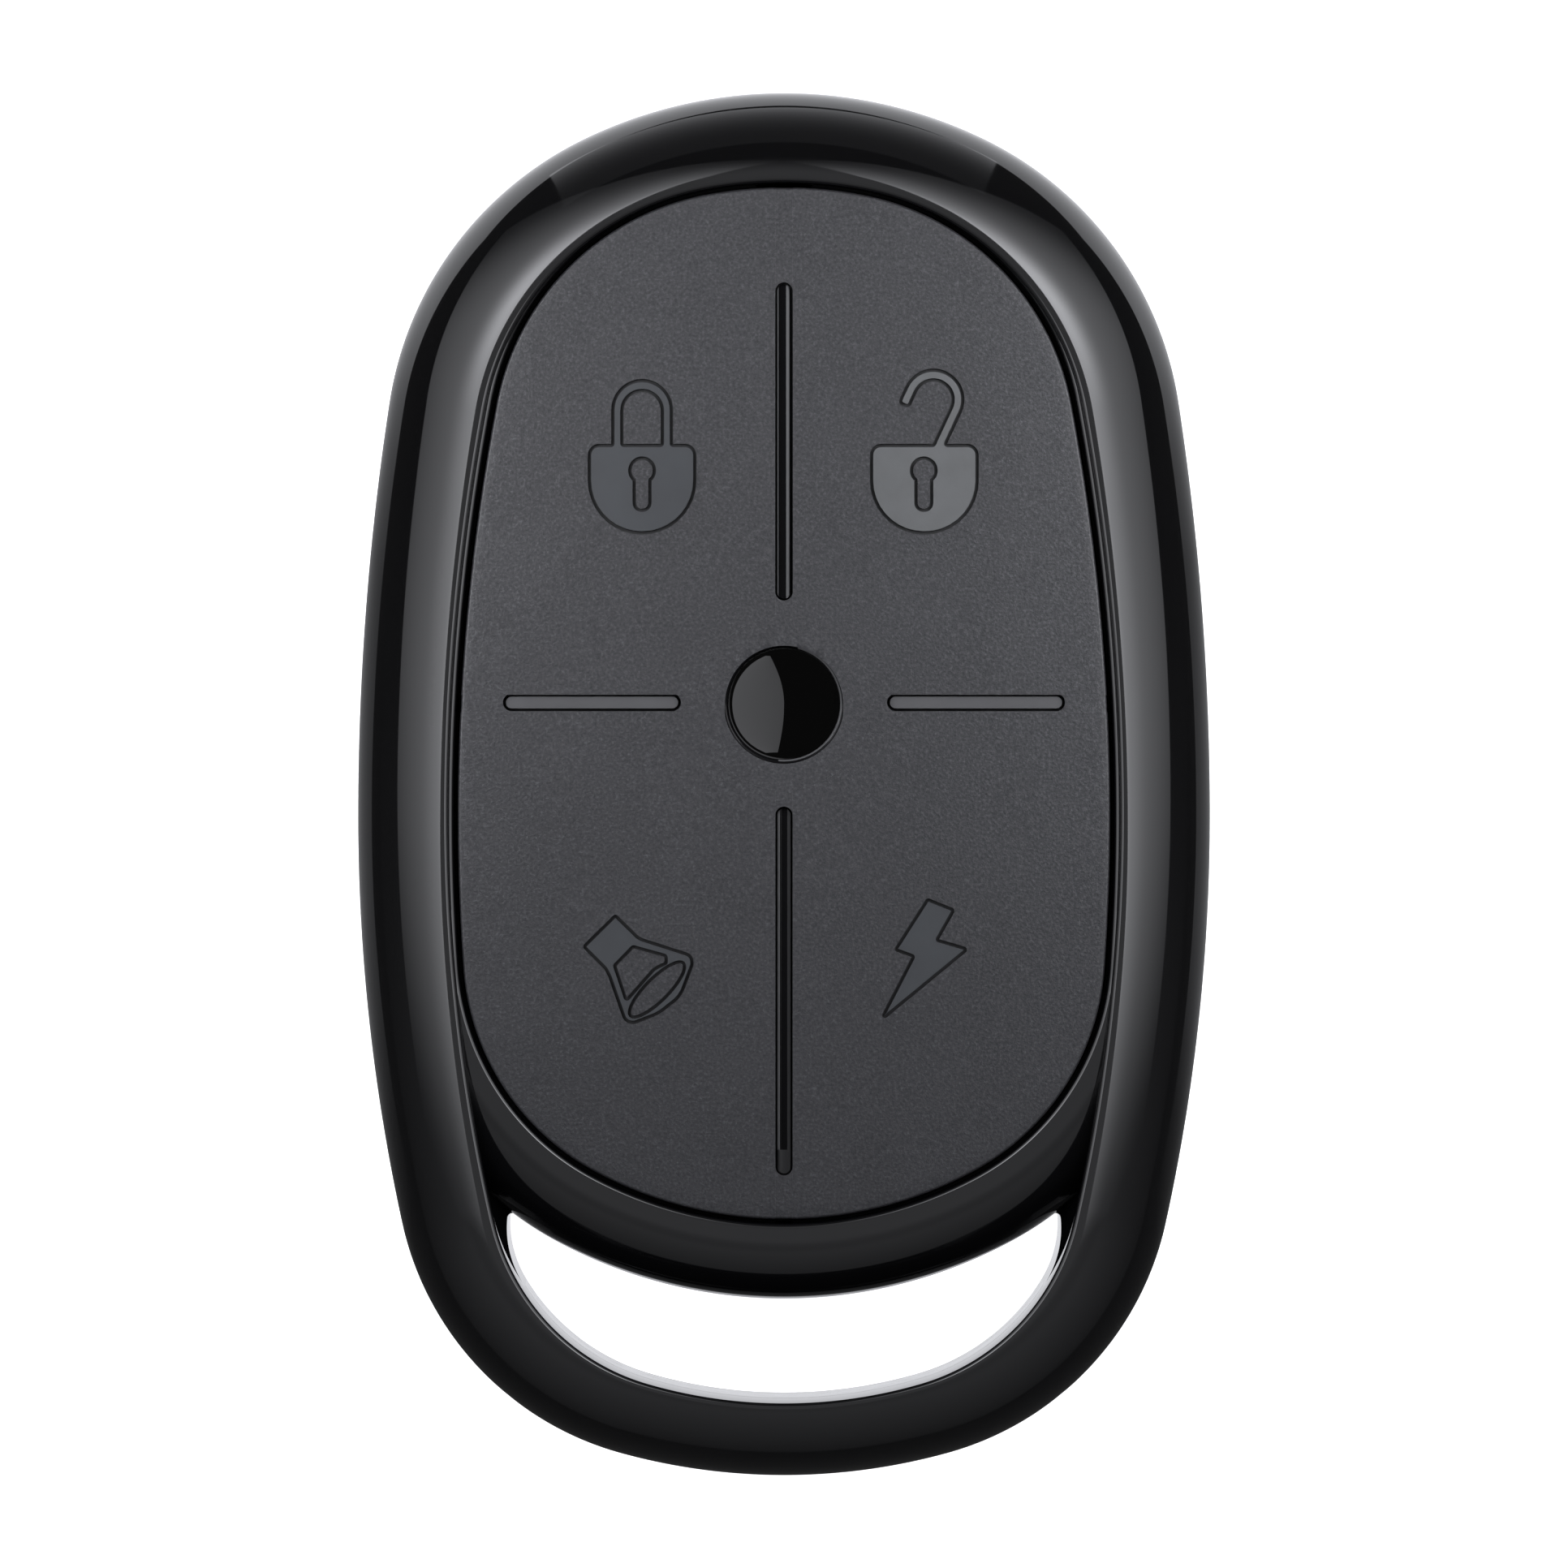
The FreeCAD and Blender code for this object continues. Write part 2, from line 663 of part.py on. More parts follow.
# Rear shell: flat back, board posts, locating tongue and screw seats
def makeRearShell():
    body = newBody("rear_shell")
    outline = newSketch(body, "RearOutline")
    addOval(outline, case)
    addPad(body, "RearPad", outline, parting)
    addFillet(body, "BackRound", size("backRound"),
              lambda point: case.carries(point) and point.z < edgeSlack)
    opening = newSketch(body, "RearOpening")
    addOval(opening, bezel)
    addPocket(body, "RearOpeningCut", opening, parting, True)
    addFillet(body, "SlotRound", size("slotRound"),
              lambda point: bezel.carries(point) and point.z < edgeSlack)
    fuseBody(body, "RearFused", makePod("rear_pod", zero, parting, False))
    tongue = newSketch(body, "Tongue", parting)
    addOval(tongue, frontCavity.grown(-size("tongueGap")))
    addPad(body, "TonguePad", tongue, size("tongueHeight"))
    cavity = newSketch(body, "RearCavity", size("backWall"))
    addOval(cavity, rearCavity)
    addPocket(body, "RearCavityCut", cavity, parting + size("tongueHeight") - size("backWall"), True)
    tongueNotch = newSketch(body, "TongueNotch", parting)
    addCircle(tongueNotch, zero, topScrewUp, size("screwBossRadius") + size("tongueGap"))
    addPocket(body, "TongueNotchCut", tongueNotch, size("tongueHeight"), True)
    posts = newSketch(body, "Posts", size("backWall"))
    for x, y in postPlaces:
        addCircle(posts, x, y, size("postRadius"))
    addPad(body, "PostsPad", posts, boardBottom - size("backWall"))
    pegs = newSketch(body, "Pegs", size("backWall"))
    for x, y in postPlaces:
        addCircle(pegs, x, y, size("pegRadius"))
    addPad(body, "PegsPad", pegs, boardBottom - size("backWall") + size("pegHeight"))
    boss = newSketch(body, "RearBoss", size("backWall"))
    addCircle(boss, zero, topScrewUp, size("screwBossRadius"))
    addPad(body, "RearBossPad", boss, parting - size("backWall"))
    bores = newSketch(body, "ScrewBores")
    heads = newSketch(body, "ScrewSeats")
    for name, x, y in screwPlaces:
        addCircle(bores, x, y, size("screwRadius") + size("screwGap"))
        addCircle(heads, x, y, size("screwHeadRadius") + size("screwGap"))
    addPocket(body, "ScrewBoresCut", bores, parting + size("tongueHeight"), True)
    addPocket(body, "ScrewSeatsCut", heads, screwSeat, True)
    addNode("rear_shell", body)


# Keys: one lid for each quarter of the key field, with a flange under the bezel and a plunger
def makeKey(name, right, up, plungerX, plungerY):
    body = newBody(name + "_key")
    relief = size("screwBossRadius") + size("bossGap")
    lid = newSketch(body, name + "Lid", flangeBottom)
    addOval(lid, field)
    addPad(body, name + "LidPad", lid, keyCrown - flangeBottom)
    addDome(body, name + "Dome", keyCrown)
    addFillet(body, name + "EdgeRound", size("keyRound"),
              lambda point: field.carries(point) and point.z > flangeBottom.value + edgeSlack)
    flange = newSketch(body, name + "Flange", flangeBottom)
    addOval(flange, field.grown(size("keyFlangeWidth")))
    addPad(body, name + "FlangePad", flange, size("keyFlangeHeight"))
    hollow = newSketch(body, name + "Hollow", flangeBottom)
    addOval(hollow, field.grown(-size("keyWall")))
    addPocket(body, name + "HollowCut", hollow, lidUnderside - flangeBottom, True)
    addKeyRibs(body, name)
    others = newSketch(body, name + "Others", flangeBottom)
    addWindow(others, right, up)
    addPocket(body, name + "OthersCut", others, keyCrown - flangeBottom, True)
    if up > 0:
        notch = newSketch(body, name + "Notch", flangeBottom)
        addCircle(notch, zero, topScrewUp, relief)
        addPocket(body, name + "NotchCut", notch, size("keyFlangeHeight"), True)
    plunger = newSketch(body, name + "Plunger", plungerBottom)
    addCircle(plunger, plungerX, plungerY, size("plungerRadius"))
    addPad(body, name + "PlungerPad", plunger, lidUnderside - plungerBottom + size("keyRound"))
    addNode(name + "_key", body)


splitHalf = size("grooveWidth") / 2
bossClear = size("lensRadius") + size("lensGap") + size("lensBossWall") + size("keySideGap")


def addWindow(sketch, right, up):
    # Everything outside one quarter: a large rectangle with the quarter left out of it.
    wide = size("caseWidth")
    long = size("caseLength")
    addRectangle(sketch, -wide, -long, wide, long)
    farX = (wide - size("keyWall")) * right
    farY = (long - size("keyWall")) * up
    nearX = splitHalf * right
    nearY = lensUp + splitHalf * up
    chord = math.sqrt(bossClear.value ** 2 - splitHalf.value ** 2)
    onUpright = Vector(nearX.value, lensUp.value + chord * up, 0)
    onLevel = Vector(chord * right, nearY.value, 0)
    points = [onUpright, Vector(nearX.value, farY.value, 0), Vector(farX.value, farY.value, 0),
              Vector(farX.value, nearY.value, 0), onLevel]
    lines = []
    for step in range(4):
        lines.append(sketch.addGeometry(Part.LineSegment(points[step], points[step + 1])))
    turnStart, turnEnd = (onLevel, onUpright) if right * up > 0 else (onUpright, onLevel)
    angles = [math.atan2(turn.y - lensUp.value, turn.x) for turn in (turnStart, turnEnd)]
    if angles[1] < angles[0]:
        angles[1] += 2 * math.pi
    circle = Part.Circle(Vector(0, lensUp.value, 0), upward, bossClear.value)
    arc = sketch.addGeometry(Part.ArcOfCircle(circle, angles[0], angles[1]))
    levelEnd, uprightEnd = (1, 2) if right * up > 0 else (2, 1)
    for step in range(3):
        sketch.addConstraint(Sketcher.Constraint("Coincident", lines[step], 2, lines[step + 1], 1))
    sketch.addConstraint(Sketcher.Constraint("Coincident", lines[3], 2, arc, levelEnd))
    sketch.addConstraint(Sketcher.Constraint("Coincident", lines[0], 1, arc, uprightEnd))
    for step, kind in enumerate(["Vertical", "Horizontal", "Vertical", "Horizontal"]):
        sketch.addConstraint(Sketcher.Constraint(kind, lines[step]))
    bind(sketch, "DistanceX", nearX, -1, 1, lines[0], 1)
    bind(sketch, "DistanceY", nearY, -1, 1, lines[3], 2)
    placePoint(sketch, lines[1], 2, farX, farY)
    placePoint(sketch, arc, 3, zero, lensUp)
    bind(sketch, "Radius", bossClear, arc)


def addKeyRibs(body, name):
    # Walls under the lid beside the split lines and round the lens boss.
    wall = size("keyWall")
    height = lidUnderside - flangeBottom + size("keyRound")
    reach = splitHalf + wall
    upright = newSketch(body, name + "UprightRib", flangeBottom)
    addRectangle(upright, -reach, fieldBottom + wall / 2, reach, fieldTop - wall / 2)
    addPad(body, name + "UprightRibPad", upright, height)
    side = fieldHalf - wall / 2
    level = newSketch(body, name + "LevelRib", flangeBottom)
    addRectangle(level, -side, lensUp - reach, side, lensUp + reach)
    addPad(body, name + "LevelRibPad", level, height)
    collar = newSketch(body, name + "Collar", flangeBottom)
    addCircle(collar, zero, lensUp, bossClear + wall)
    addPad(body, name + "CollarPad", collar, height)


# Key frame: plate under the keys, rim against the case, grooved cross and lens boss
def makeKeyFrame():
    body = newBody("key_frame")
    webHalf = splitHalf - size("keySideGap")
    plate = newSketch(body, "Plate", frameBottom)
    outer = frontCavity.grown(-size("frameInset"))
    addOval(plate, outer)
    addPad(body, "PlatePad", plate, size("frameThickness"))
    rim = newSketch(body, "Rim", frameBottom)
    addOval(rim, outer)
    addOval(rim, field.grown(size("frameRimInner")))
    addPad(body, "RimPad", rim, roof - frameBottom)
    webTop = fieldTop - size("webEndInset")
    webLow = fieldBottom + size("webEndInset")
    webSide = fieldHalf - size("webEndInset")
    rise = keyCrown - frameBottom
    upright = newSketch(body, "WebUpright", frameBottom)
    addRectangle(upright, -webHalf, webLow, webHalf, webTop)
    addPad(body, "WebUprightPad", upright, rise)
    level = newSketch(body, "WebLevel", frameBottom)
    addRectangle(level, -webSide, lensUp - webHalf, webSide, lensUp + webHalf)
    addPad(body, "WebLevelPad", level, rise)
    addDome(body, "GrooveFloors", keyCrown - size("grooveDepth"))
    start = size("grooveStart")
    necks = newSketch(body, "OuterNecks", frameBottom)
    grooveSide = fieldHalf - size("grooveSideInset")
    addRectangle(necks, -webHalf, fieldTop - size("grooveTopInset"), webHalf, webTop)
    addRectangle(necks, -webHalf, webLow, webHalf, fieldBottom + size("grooveLowInset"))
    addRectangle(necks, grooveSide, lensUp - webHalf, webSide, lensUp + webHalf)
    addRectangle(necks, -webSide, lensUp - webHalf, -grooveSide, lensUp + webHalf)
    addPad(body, "OuterNecksPad", necks, rise)
    innerUpright = newSketch(body, "InnerUprightNeck", frameBottom)
    addRectangle(innerUpright, -webHalf, lensUp - start, webHalf, lensUp + start)
    addPad(body, "InnerUprightPad", innerUpright, rise)
    innerLevel = newSketch(body, "InnerLevelNeck", frameBottom)
    addRectangle(innerLevel, -start, lensUp - webHalf, start, lensUp + webHalf)
    addPad(body, "InnerLevelPad", innerLevel, rise)
    boss = newSketch(body, "LensBoss", frameBottom)
    addCircle(boss, zero, lensUp, bossClear - size("keySideGap"))
    addPad(body, "LensBossPad", boss, rise)
    addDome(body, "FrameDome", keyCrown)
    bore = newSketch(body, "LensBore", frameBottom)
    addCircle(bore, zero, lensUp, size("lensRadius") + size("lensGap"))
    addPocket(body, "LensBoreCut", bore, rise, True)
    addFillet(body, "BoreRound", size("boreRound"), onBoreTop)
    holes = newSketch(body, "PlungerHoles", frameBottom)
    for name, right, up, x, y in keyPlaces:
        addCircle(holes, x, y, size("plungerRadius") + size("plungerHoleGap"))
    addPocket(body, "PlungerHolesCut", holes, size("frameThickness"), True)
    notch = newSketch(body, "BossNotch", frameBottom)
    addCircle(notch, zero, topScrewUp, size("screwBossRadius") + size("bossGap"))
    addPocket(body, "BossNotchCut", notch, roof - frameBottom, True)
    feet = newSketch(body, "Feet", boardTop)
    for x, y in footPlaces:
        addCircle(feet, x, y, size("footRadius"))
    addPad(body, "FeetPad", feet, frameBottom - boardTop)
    addNode("key_frame", body)


def onBoreTop(point):
    away = math.hypot(point.x, point.y - lensUp.value)
    bore = size("lensRadius").value + size("lensGap").value
    return abs(away - bore) < outlineSlack and point.z > frameTop.value + edgeSlack


# Status lens: domed window on a light pipe, with a flange under the frame
def makeLens():
    body = newBody("status_lens")
    sketch = newSketch(body, "LensProfile", role="XZ_Plane")
    radius = size("lensRadius")
    top = keyCrown + size("lensProud")
    edge = top - size("lensSag")
    bottom = frameBottom - size("lensFlangeHeight")
    sag = size("lensSag").value
    domeRadius = (radius.value ** 2 + sag ** 2) / (2 * sag)
    centre = Vector(0, top.value - domeRadius, 0)
    rimAngle = math.atan2(edge.value - centre.y, radius.value)
    circle = Part.Circle(centre, upward, domeRadius)
    dome = sketch.addGeometry(Part.ArcOfCircle(circle, rimAngle, math.pi / 2))
    flange = size("lensFlangeRadius")
    corners = [(zero, top), (zero, bottom), (flange, bottom), (flange, frameBottom),
               (radius, frameBottom), (radius, edge)]
    first = sketch.GeometryCount
    for (x, y), (nextX, nextY) in zip(corners, corners[1:]):
        start = Vector(x.value, y.value, 0)
        sketch.addGeometry(Part.LineSegment(start, Vector(nextX.value, nextY.value, 0)))
    for step in range(4):
        sketch.addConstraint(Sketcher.Constraint("Coincident", first + step, 2, first + step + 1, 1))
    sketch.addConstraint(Sketcher.Constraint("Coincident", dome, 2, first, 1))
    sketch.addConstraint(Sketcher.Constraint("Coincident", dome, 1, first + 4, 2))
    sketch.addConstraint(Sketcher.Constraint("PointOnObject", dome, 3, -2))
    for step, (x, y) in enumerate(corners[:-1]):
        placePoint(sketch, first + step, 1, x, y)
    placePoint(sketch, first + 4, 2, radius, edge)
    turned = body.newObject("PartDesign::Revolution", "LensTurned")
    turned.Profile = sketch
    turned.ReferenceAxis = (sketch, ["V_Axis"])
    turned.Angle = 360
    body.setExpression("Placement.Base.y", lensUp.text)
    doc.recompute()
    addNode("status_lens", body)


# Screws: pan head with a cross recess, driven in from the back
def makeScrews():
    for name, x, y in screwPlaces:
        headLow = size("screwHeadSunk")
        head = addCylinder(name + "_head", x, y, headLow, size("screwHeadRadius"), size("screwHeadHeight"))
        shank = addCylinder(name + "_shank", x, y, headLow, size("screwRadius"),
                            size("screwHeadHeight") + size("screwReach"))
        screw = fuseAll(name + "_blank", [head, shank])
        length = size("recessLength")
        width = size("recessWidth")
        depth = size("recessDepth")
        bars = [addBox(name + "_bar_one", x, y, headLow, length, width, depth),
                addBox(name + "_bar_two", x, y, headLow, width, length, depth)]
        recess = fuseAll(name + "_recess", bars)
        addNode(name, cutFrom(name, screw, recess))


# Board with its peg holes and the notch for the screw boss
def makeBoard():
    body = newBody("circuit_board")
    outline = newSketch(body, "BoardOutline", boardBottom)
    addOval(outline, boardOutline)
    addPad(body, "BoardPad", outline, size("boardThickness"))
    holes = newSketch(body, "PegHoles", boardBottom)
    for x, y in postPlaces:
        addCircle(holes, x, y, size("pegRadius") + size("pegGap"))
    addPocket(body, "PegHolesCut", holes, size("boardThickness"), True)
    notch = newSketch(body, "BoardNotch", boardBottom)
    addCircle(notch, zero, topScrewUp, size("screwBossRadius") + size("bossGap"))
    addPocket(body, "BoardNotchCut", notch, size("boardThickness"), True)
    addNode("circuit_board", body)


# Tactile switches: base with a recess, sheet cover and stem
def makeSwitch(name, x, y):
    side = size("switchWidth")
    baseHeight = size("switchBaseHeight")
    recessLow = boardTop + baseHeight - size("switchRecess")
    clear = size("stemFlangeRadius") + size("stemGap")
    block = addBox(name + "_base_block", x, y, boardTop, side, side, baseHeight)
    recess = addCylinder(name + "_base_recess", x, y, recessLow, clear, baseHeight)
    addNode(name + "_switch_base", cutFrom(name + "_switch_base", block, recess))
    coverLow = boardTop + baseHeight
    thick = size("switchCoverThickness")
    sheetPlate = addBox(name + "_cover_plate", x, y, coverLow, side, side + thick * 2, thick)
    legs = []
    for end in (-1, 1):
        legY = y + (side + thick) * (end * 0.5)
        legs.append(addBox("%s_cover_leg_%s" % (name, "low" if end < 0 else "high"), x, legY, boardTop,
                           size("switchLegWidth"), thick, baseHeight + thick))
    cover = fuseAll(name + "_cover_sheet", [sheetPlate] + legs)
    hole = addCylinder(name + "_cover_hole", x, y, coverLow, size("stemRadius") + size("stemGap"), thick)
    addNode(name + "_switch_cover", cutFrom(name + "_switch_cover", cover, hole))
    flangeLow = coverLow - size("stemLiftGap") - size("stemFlangeHeight")
    stemFlange = addCylinder(name + "_stem_flange", x, y, flangeLow, size("stemFlangeRadius"),
                             size("stemFlangeHeight"))
    stem = addCylinder(name + "_stem_shaft", x, y, flangeLow, size("stemRadius"), stemTop - flangeLow)
    addNode(name + "_switch_stem", fuseAll(name + "_switch_stem", [stemFlange, stem]))


# Coin cell: can, sealing ring, filling and cap, standing in the battery clip
def makeCell():
    wall = size("canWall")
    canInner = size("cellRadius") - wall
    capInner = size("capRadius") - wall
    skirt = wall + size("capSkirtStart")
    lipLow = size("canHeight") - wall
    lipInner = size("cellRadius") - size("canLip")
    profiles = {
        "cell_can": [(zero, zero), (size("cellRadius"), zero), (size("cellRadius"), size("canHeight")),
                     (lipInner, size("canHeight")), (lipInner, lipLow), (canInner, lipLow),
                     (canInner, wall), (zero, wall)],
        "cell_seal": [(capInner, wall), (canInner, wall), (canInner, lipLow), (size("capRadius"), lipLow),
                      (size("capRadius"), skirt), (capInner, skirt)],
        "cell_filling": [(zero, wall), (capInner, wall), (capInner, size("cellHeight") - wall),
                         (zero, size("cellHeight") - wall)],
        "cell_cap": [(zero, size("cellHeight")), (size("capRadius"), size("cellHeight")),
                     (size("capRadius"), skirt), (capInner, skirt),
                     (capInner, size("cellHeight") - wall), (zero, size("cellHeight") - wall)],
    }
    for name, corners in profiles.items():
        body = newBody(name)
        addRevolution(body, name + "Turned", corners)
        placeAt(body, zero, size("cellUp"), cellBottom)
        addNode(name, body)


def makeContacts():
    body = newBody("battery_clip")
    sketch = newSketch(body, "ClipProfile", role="XZ_Plane")
    thick = size("clipThickness")
    inner = size("cellRadius") + size("clipSideGap")
    outer = inner + thick
    foot = outer + size("clipFoot")
    low = cellBottom - thick
    right = [(outer, low), (outer, boardBottom - thick), (foot, boardBottom - thick), (foot, boardBottom),
             (inner, boardBottom), (inner, cellBottom)]
    left = [(-x, y) for x, y in reversed(right)]
    addPolygon(sketch, right + left)
    addPad(body, "ClipPad", sketch, size("clipWidth"), midplane=True)
    body.setExpression("Placement.Base.y", size("cellUp").text)
    addNode("battery_clip", body)
    contactLow = boardBottom - size("contactThickness")
    addNode("negative_contact", addCylinder("negative_contact", zero, size("cellUp"), contactLow,
                                            size("contactRadius"), size("contactThickness")))


# Radio parts on the board
def makeRadioParts():
    body = newBody("loop_antenna")
    track = newSketch(body, "Track", boardTop)
    start = size("trackStart")
    addOval(track, field.grown(start + size("trackWidth")))
    addOval(track, field.grown(start))
    addPad(body, "TrackPad", track, size("trackHeight"))
    gap = newSketch(body, "TrackGap", boardTop)
    half = size("trackOpening") / 2
    addRectangle(gap, -half, fieldTop - half, half, fieldTop + half)
    addPocket(body, "TrackGapCut", gap, size("trackHeight"), True)
    addNode("loop_antenna", body)

    chipY = fieldBottom + size("chipRise")
    chip = addBox("chip_block", zero, chipY, boardTop, size("chipLength"), size("chipDepth"),
                  size("chipHeight"))
    leads = []
    for step in range(4):
        leadX = size("leadPitch") * (step - 1.5)
        leads.append(addBox("chip_lead_%d" % (step + 1), leadX, chipY, boardTop, size("leadWidth"),
                            size("chipDepth") + size("leadReach") * 2, size("leadThickness")))
    addNode("encoder_chip", fuseAll("encoder_chip", [chip] + leads))

    side = size("resonatorSide")
    addNode("resonator", addBox("resonator", zero, lensUp + size("resonatorOverLens"), boardTop, side,
                                side, size("resonatorHeight")))
    addNode("radio_transistor", addBox("radio_transistor", zero, fieldTop - size("transistorDrop"),
                                       boardTop, size("transistorLength"), size("transistorDepth"),
                                       size("transistorHeight")))
    addNode("status_light", addBox("status_light", zero, lensUp, boardTop, size("lightLength"),
                                   size("lightDepth"), size("lightHeight")))
    partY = lensUp - size("chipPartsUnderLens")
    for step in range(4):
        partX = size("chipPartPitch") * (step - 1.5)
        name = "chip_part_%d" % (step + 1)
        addNode(name, addBox(name, partX, partY, boardTop, size("chipPartLength"), size("chipPartDepth"),
                             size("chipPartHeight")))


makeFrontShell()
makeRearShell()
makeKeyFrame()
for keyName, right, up, keyX, keyY in keyPlaces:
    makeKey(keyName, right, up, keyX, keyY)
    makeSwitch(keyName, keyX, keyY)
makeLens()
makeScrews()
makeBoard()
makeCell()
makeContacts()
makeRadioParts()
doc.recompute()

# Checks before anything is written
for item in doc.Objects:
    if "Invalid" in item.State or "Error" in item.State:
        raise RuntimeError("%s failed: %s" % (item.Name, item.State))
for name, item in nodes.items():
    if item.Shape.isNull() or not item.Shape.isValid():
        raise RuntimeError("%s has no valid shape" % name)
    if len(item.Shape.Solids) != 1:
        raise RuntimeError("%s has %d solids" % (name, len(item.Shape.Solids)))

for name, item in nodes.items():
    item.Shape.exportStep(os.path.join("parts", name + ".step"))
    bounds = item.Shape.BoundBox
    print("%-20s volume %9.3f  z %6.3f to %6.3f" % (name, item.Shape.Volume, bounds.ZMin, bounds.ZMax))
print(len(nodes), "parts written")
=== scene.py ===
import bpy
import math
import numpy as np
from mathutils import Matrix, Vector


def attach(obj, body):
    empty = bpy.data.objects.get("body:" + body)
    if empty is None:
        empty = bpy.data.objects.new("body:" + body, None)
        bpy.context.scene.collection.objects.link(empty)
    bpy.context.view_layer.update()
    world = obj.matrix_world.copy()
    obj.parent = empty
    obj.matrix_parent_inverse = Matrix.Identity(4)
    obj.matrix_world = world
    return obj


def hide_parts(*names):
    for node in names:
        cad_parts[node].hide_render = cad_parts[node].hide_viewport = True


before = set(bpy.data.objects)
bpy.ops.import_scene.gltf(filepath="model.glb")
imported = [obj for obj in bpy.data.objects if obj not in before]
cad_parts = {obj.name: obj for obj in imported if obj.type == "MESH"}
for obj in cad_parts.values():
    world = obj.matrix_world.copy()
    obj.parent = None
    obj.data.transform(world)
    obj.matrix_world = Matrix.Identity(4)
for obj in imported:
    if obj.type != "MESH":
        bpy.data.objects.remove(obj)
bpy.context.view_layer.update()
mm = 0.001
flatRadius = 1.0e6  # crown radius, in mm, of a face that is really flat
beyond = 1.0  # how far, in mm, a cutter runs past what it cuts


# Outlines, in mm: half width and both ends, then for the upper and lower half the end arc's radius, where it
# joins the corner arc, and the side arc's radius

caseOutline = {"half": 20.0, "top": 32.5, "bottom": -32.5,
               "upper": (21.5, 9.56, 130.0), "lower": (28.9, 7.72, 90.0)}
fieldOutline = {"half": 15.2, "top": 27.85, "bottom": -20.3,
                "upper": (19.6, 3.73, 104.0), "lower": (18.6, 8.83, 100.0)}
bezelOutline = {"half": 15.62, "top": 28.08, "bottom": -28.9,
                "upper": (19.85, 3.78, 104.42), "lower": (22.8, 6.39, 85.0)}
waistHeight = -1.5


def quarterArcs(half, reach, endRadius, joint, sideRadius):  # side, corner and end arc of one quarter
    endAngle = math.acos(joint / endRadius)
    towards = Vector((math.cos(endAngle), math.sin(endAngle)))
    endCentre = Vector((0, reach - endRadius))
    sideCentre = Vector((half - sideRadius, 0))
    fromSide = endCentre + towards * endRadius - sideCentre
    cornerRadius = (sideRadius ** 2 - fromSide.dot(fromSide)) / (2 * (sideRadius - fromSide.dot(towards)))
    cornerCentre = endCentre + towards * (endRadius - cornerRadius)
    turned = cornerCentre - sideCentre
    sideAngle = math.atan2(turned.y, turned.x)
    return [(sideCentre, sideRadius, 0, sideAngle), (cornerCentre, cornerRadius, sideAngle, endAngle),
            (endCentre, endRadius, endAngle, math.pi / 2)]


def outlineArcs(sizes):  # anticlockwise from the right waist: centre, radius, start and end angle
    upper = quarterArcs(sizes["half"], sizes["top"] - waistHeight, *sizes["upper"])
    lower = quarterArcs(sizes["half"], waistHeight - sizes["bottom"], *sizes["lower"])
    turn = math.pi
    arcs = [(c.x, waistHeight + c.y, r, a, b) for c, r, a, b in upper]
    arcs += [(-c.x, waistHeight + c.y, r, turn - b, turn - a) for c, r, a, b in upper[::-1]]
    arcs += [(-c.x, waistHeight - c.y, r, turn + a, turn + b) for c, r, a, b in lower]
    arcs += [(c.x, waistHeight - c.y, r, 2 * turn - b, 2 * turn - a) for c, r, a, b in lower[::-1]]
    return arcs


def outlineSamples(sizes, margin=0.0, spacing=0.25):  # points and outward directions, evenly spaced
    points, outward = [], []
    for x, y, radius, start, end in outlineArcs(sizes):
        steps = max(4, round(radius * (end - start) / spacing))
        for step in range(steps):
            angle = start + (end - start) * step / steps
            outward.append((math.cos(angle), math.sin(angle)))
            points.append((x + (radius + margin) * outward[-1][0], y + (radius + margin) * outward[-1][1]))
    return np.array(points), np.array(outward)


def depthInside(sizes, points, margin=0.0):  # distance from the outline, positive inside it
    depth = np.full(len(points), 1e9)
    for x, y, radius, start, end in outlineArcs(sizes):
        away = points - np.array((x, y))
        angle = np.arctan2(away[:, 1], away[:, 0]) % (2 * math.pi)
        reach = radius + margin - np.hypot(away[:, 0], away[:, 1])
        onArc = (angle >= start - 1e-6) & (angle <= end + 1e-6)
        depth = np.where(onArc & (np.abs(reach) < np.abs(depth)), reach, depth)
    return depth


# Meshes

def meshObject(name, points, faces, smooth=True):
    mesh = bpy.data.meshes.new(name)
    mesh.from_pydata([tuple(point) for point in points], [], faces)
    mesh.polygons.foreach_set("use_smooth", [smooth] * len(mesh.polygons))
    mesh.update()
    piece = bpy.data.objects.new(name, mesh)
    bpy.context.scene.collection.objects.link(piece)
    return piece


def addAttribute(piece, name, values):
    attribute = piece.data.attributes.new(name, "FLOAT", "POINT")
    attribute.data.foreach_set("value", np.asarray(values, np.float32))


def bakeModifiers(piece):  # turns what the modifiers make into the piece's own plain mesh
    bpy.context.view_layer.update()
    finished = piece.evaluated_get(bpy.context.evaluated_depsgraph_get())
    mesh = bpy.data.meshes.new_from_object(finished)
    piece.modifiers.clear()
    piece.data = mesh
    return piece


def combine(piece, tool, operation="DIFFERENCE"):
    modifier = piece.modifiers.new("combine", "BOOLEAN")
    modifier.operation = operation
    modifier.solver = "MANIFOLD"
    modifier.object = tool
    bakeModifiers(piece)
    if not len(piece.data.polygons):
        raise RuntimeError(piece.name + " is empty after " + tool.name)
    bpy.data.objects.remove(tool)


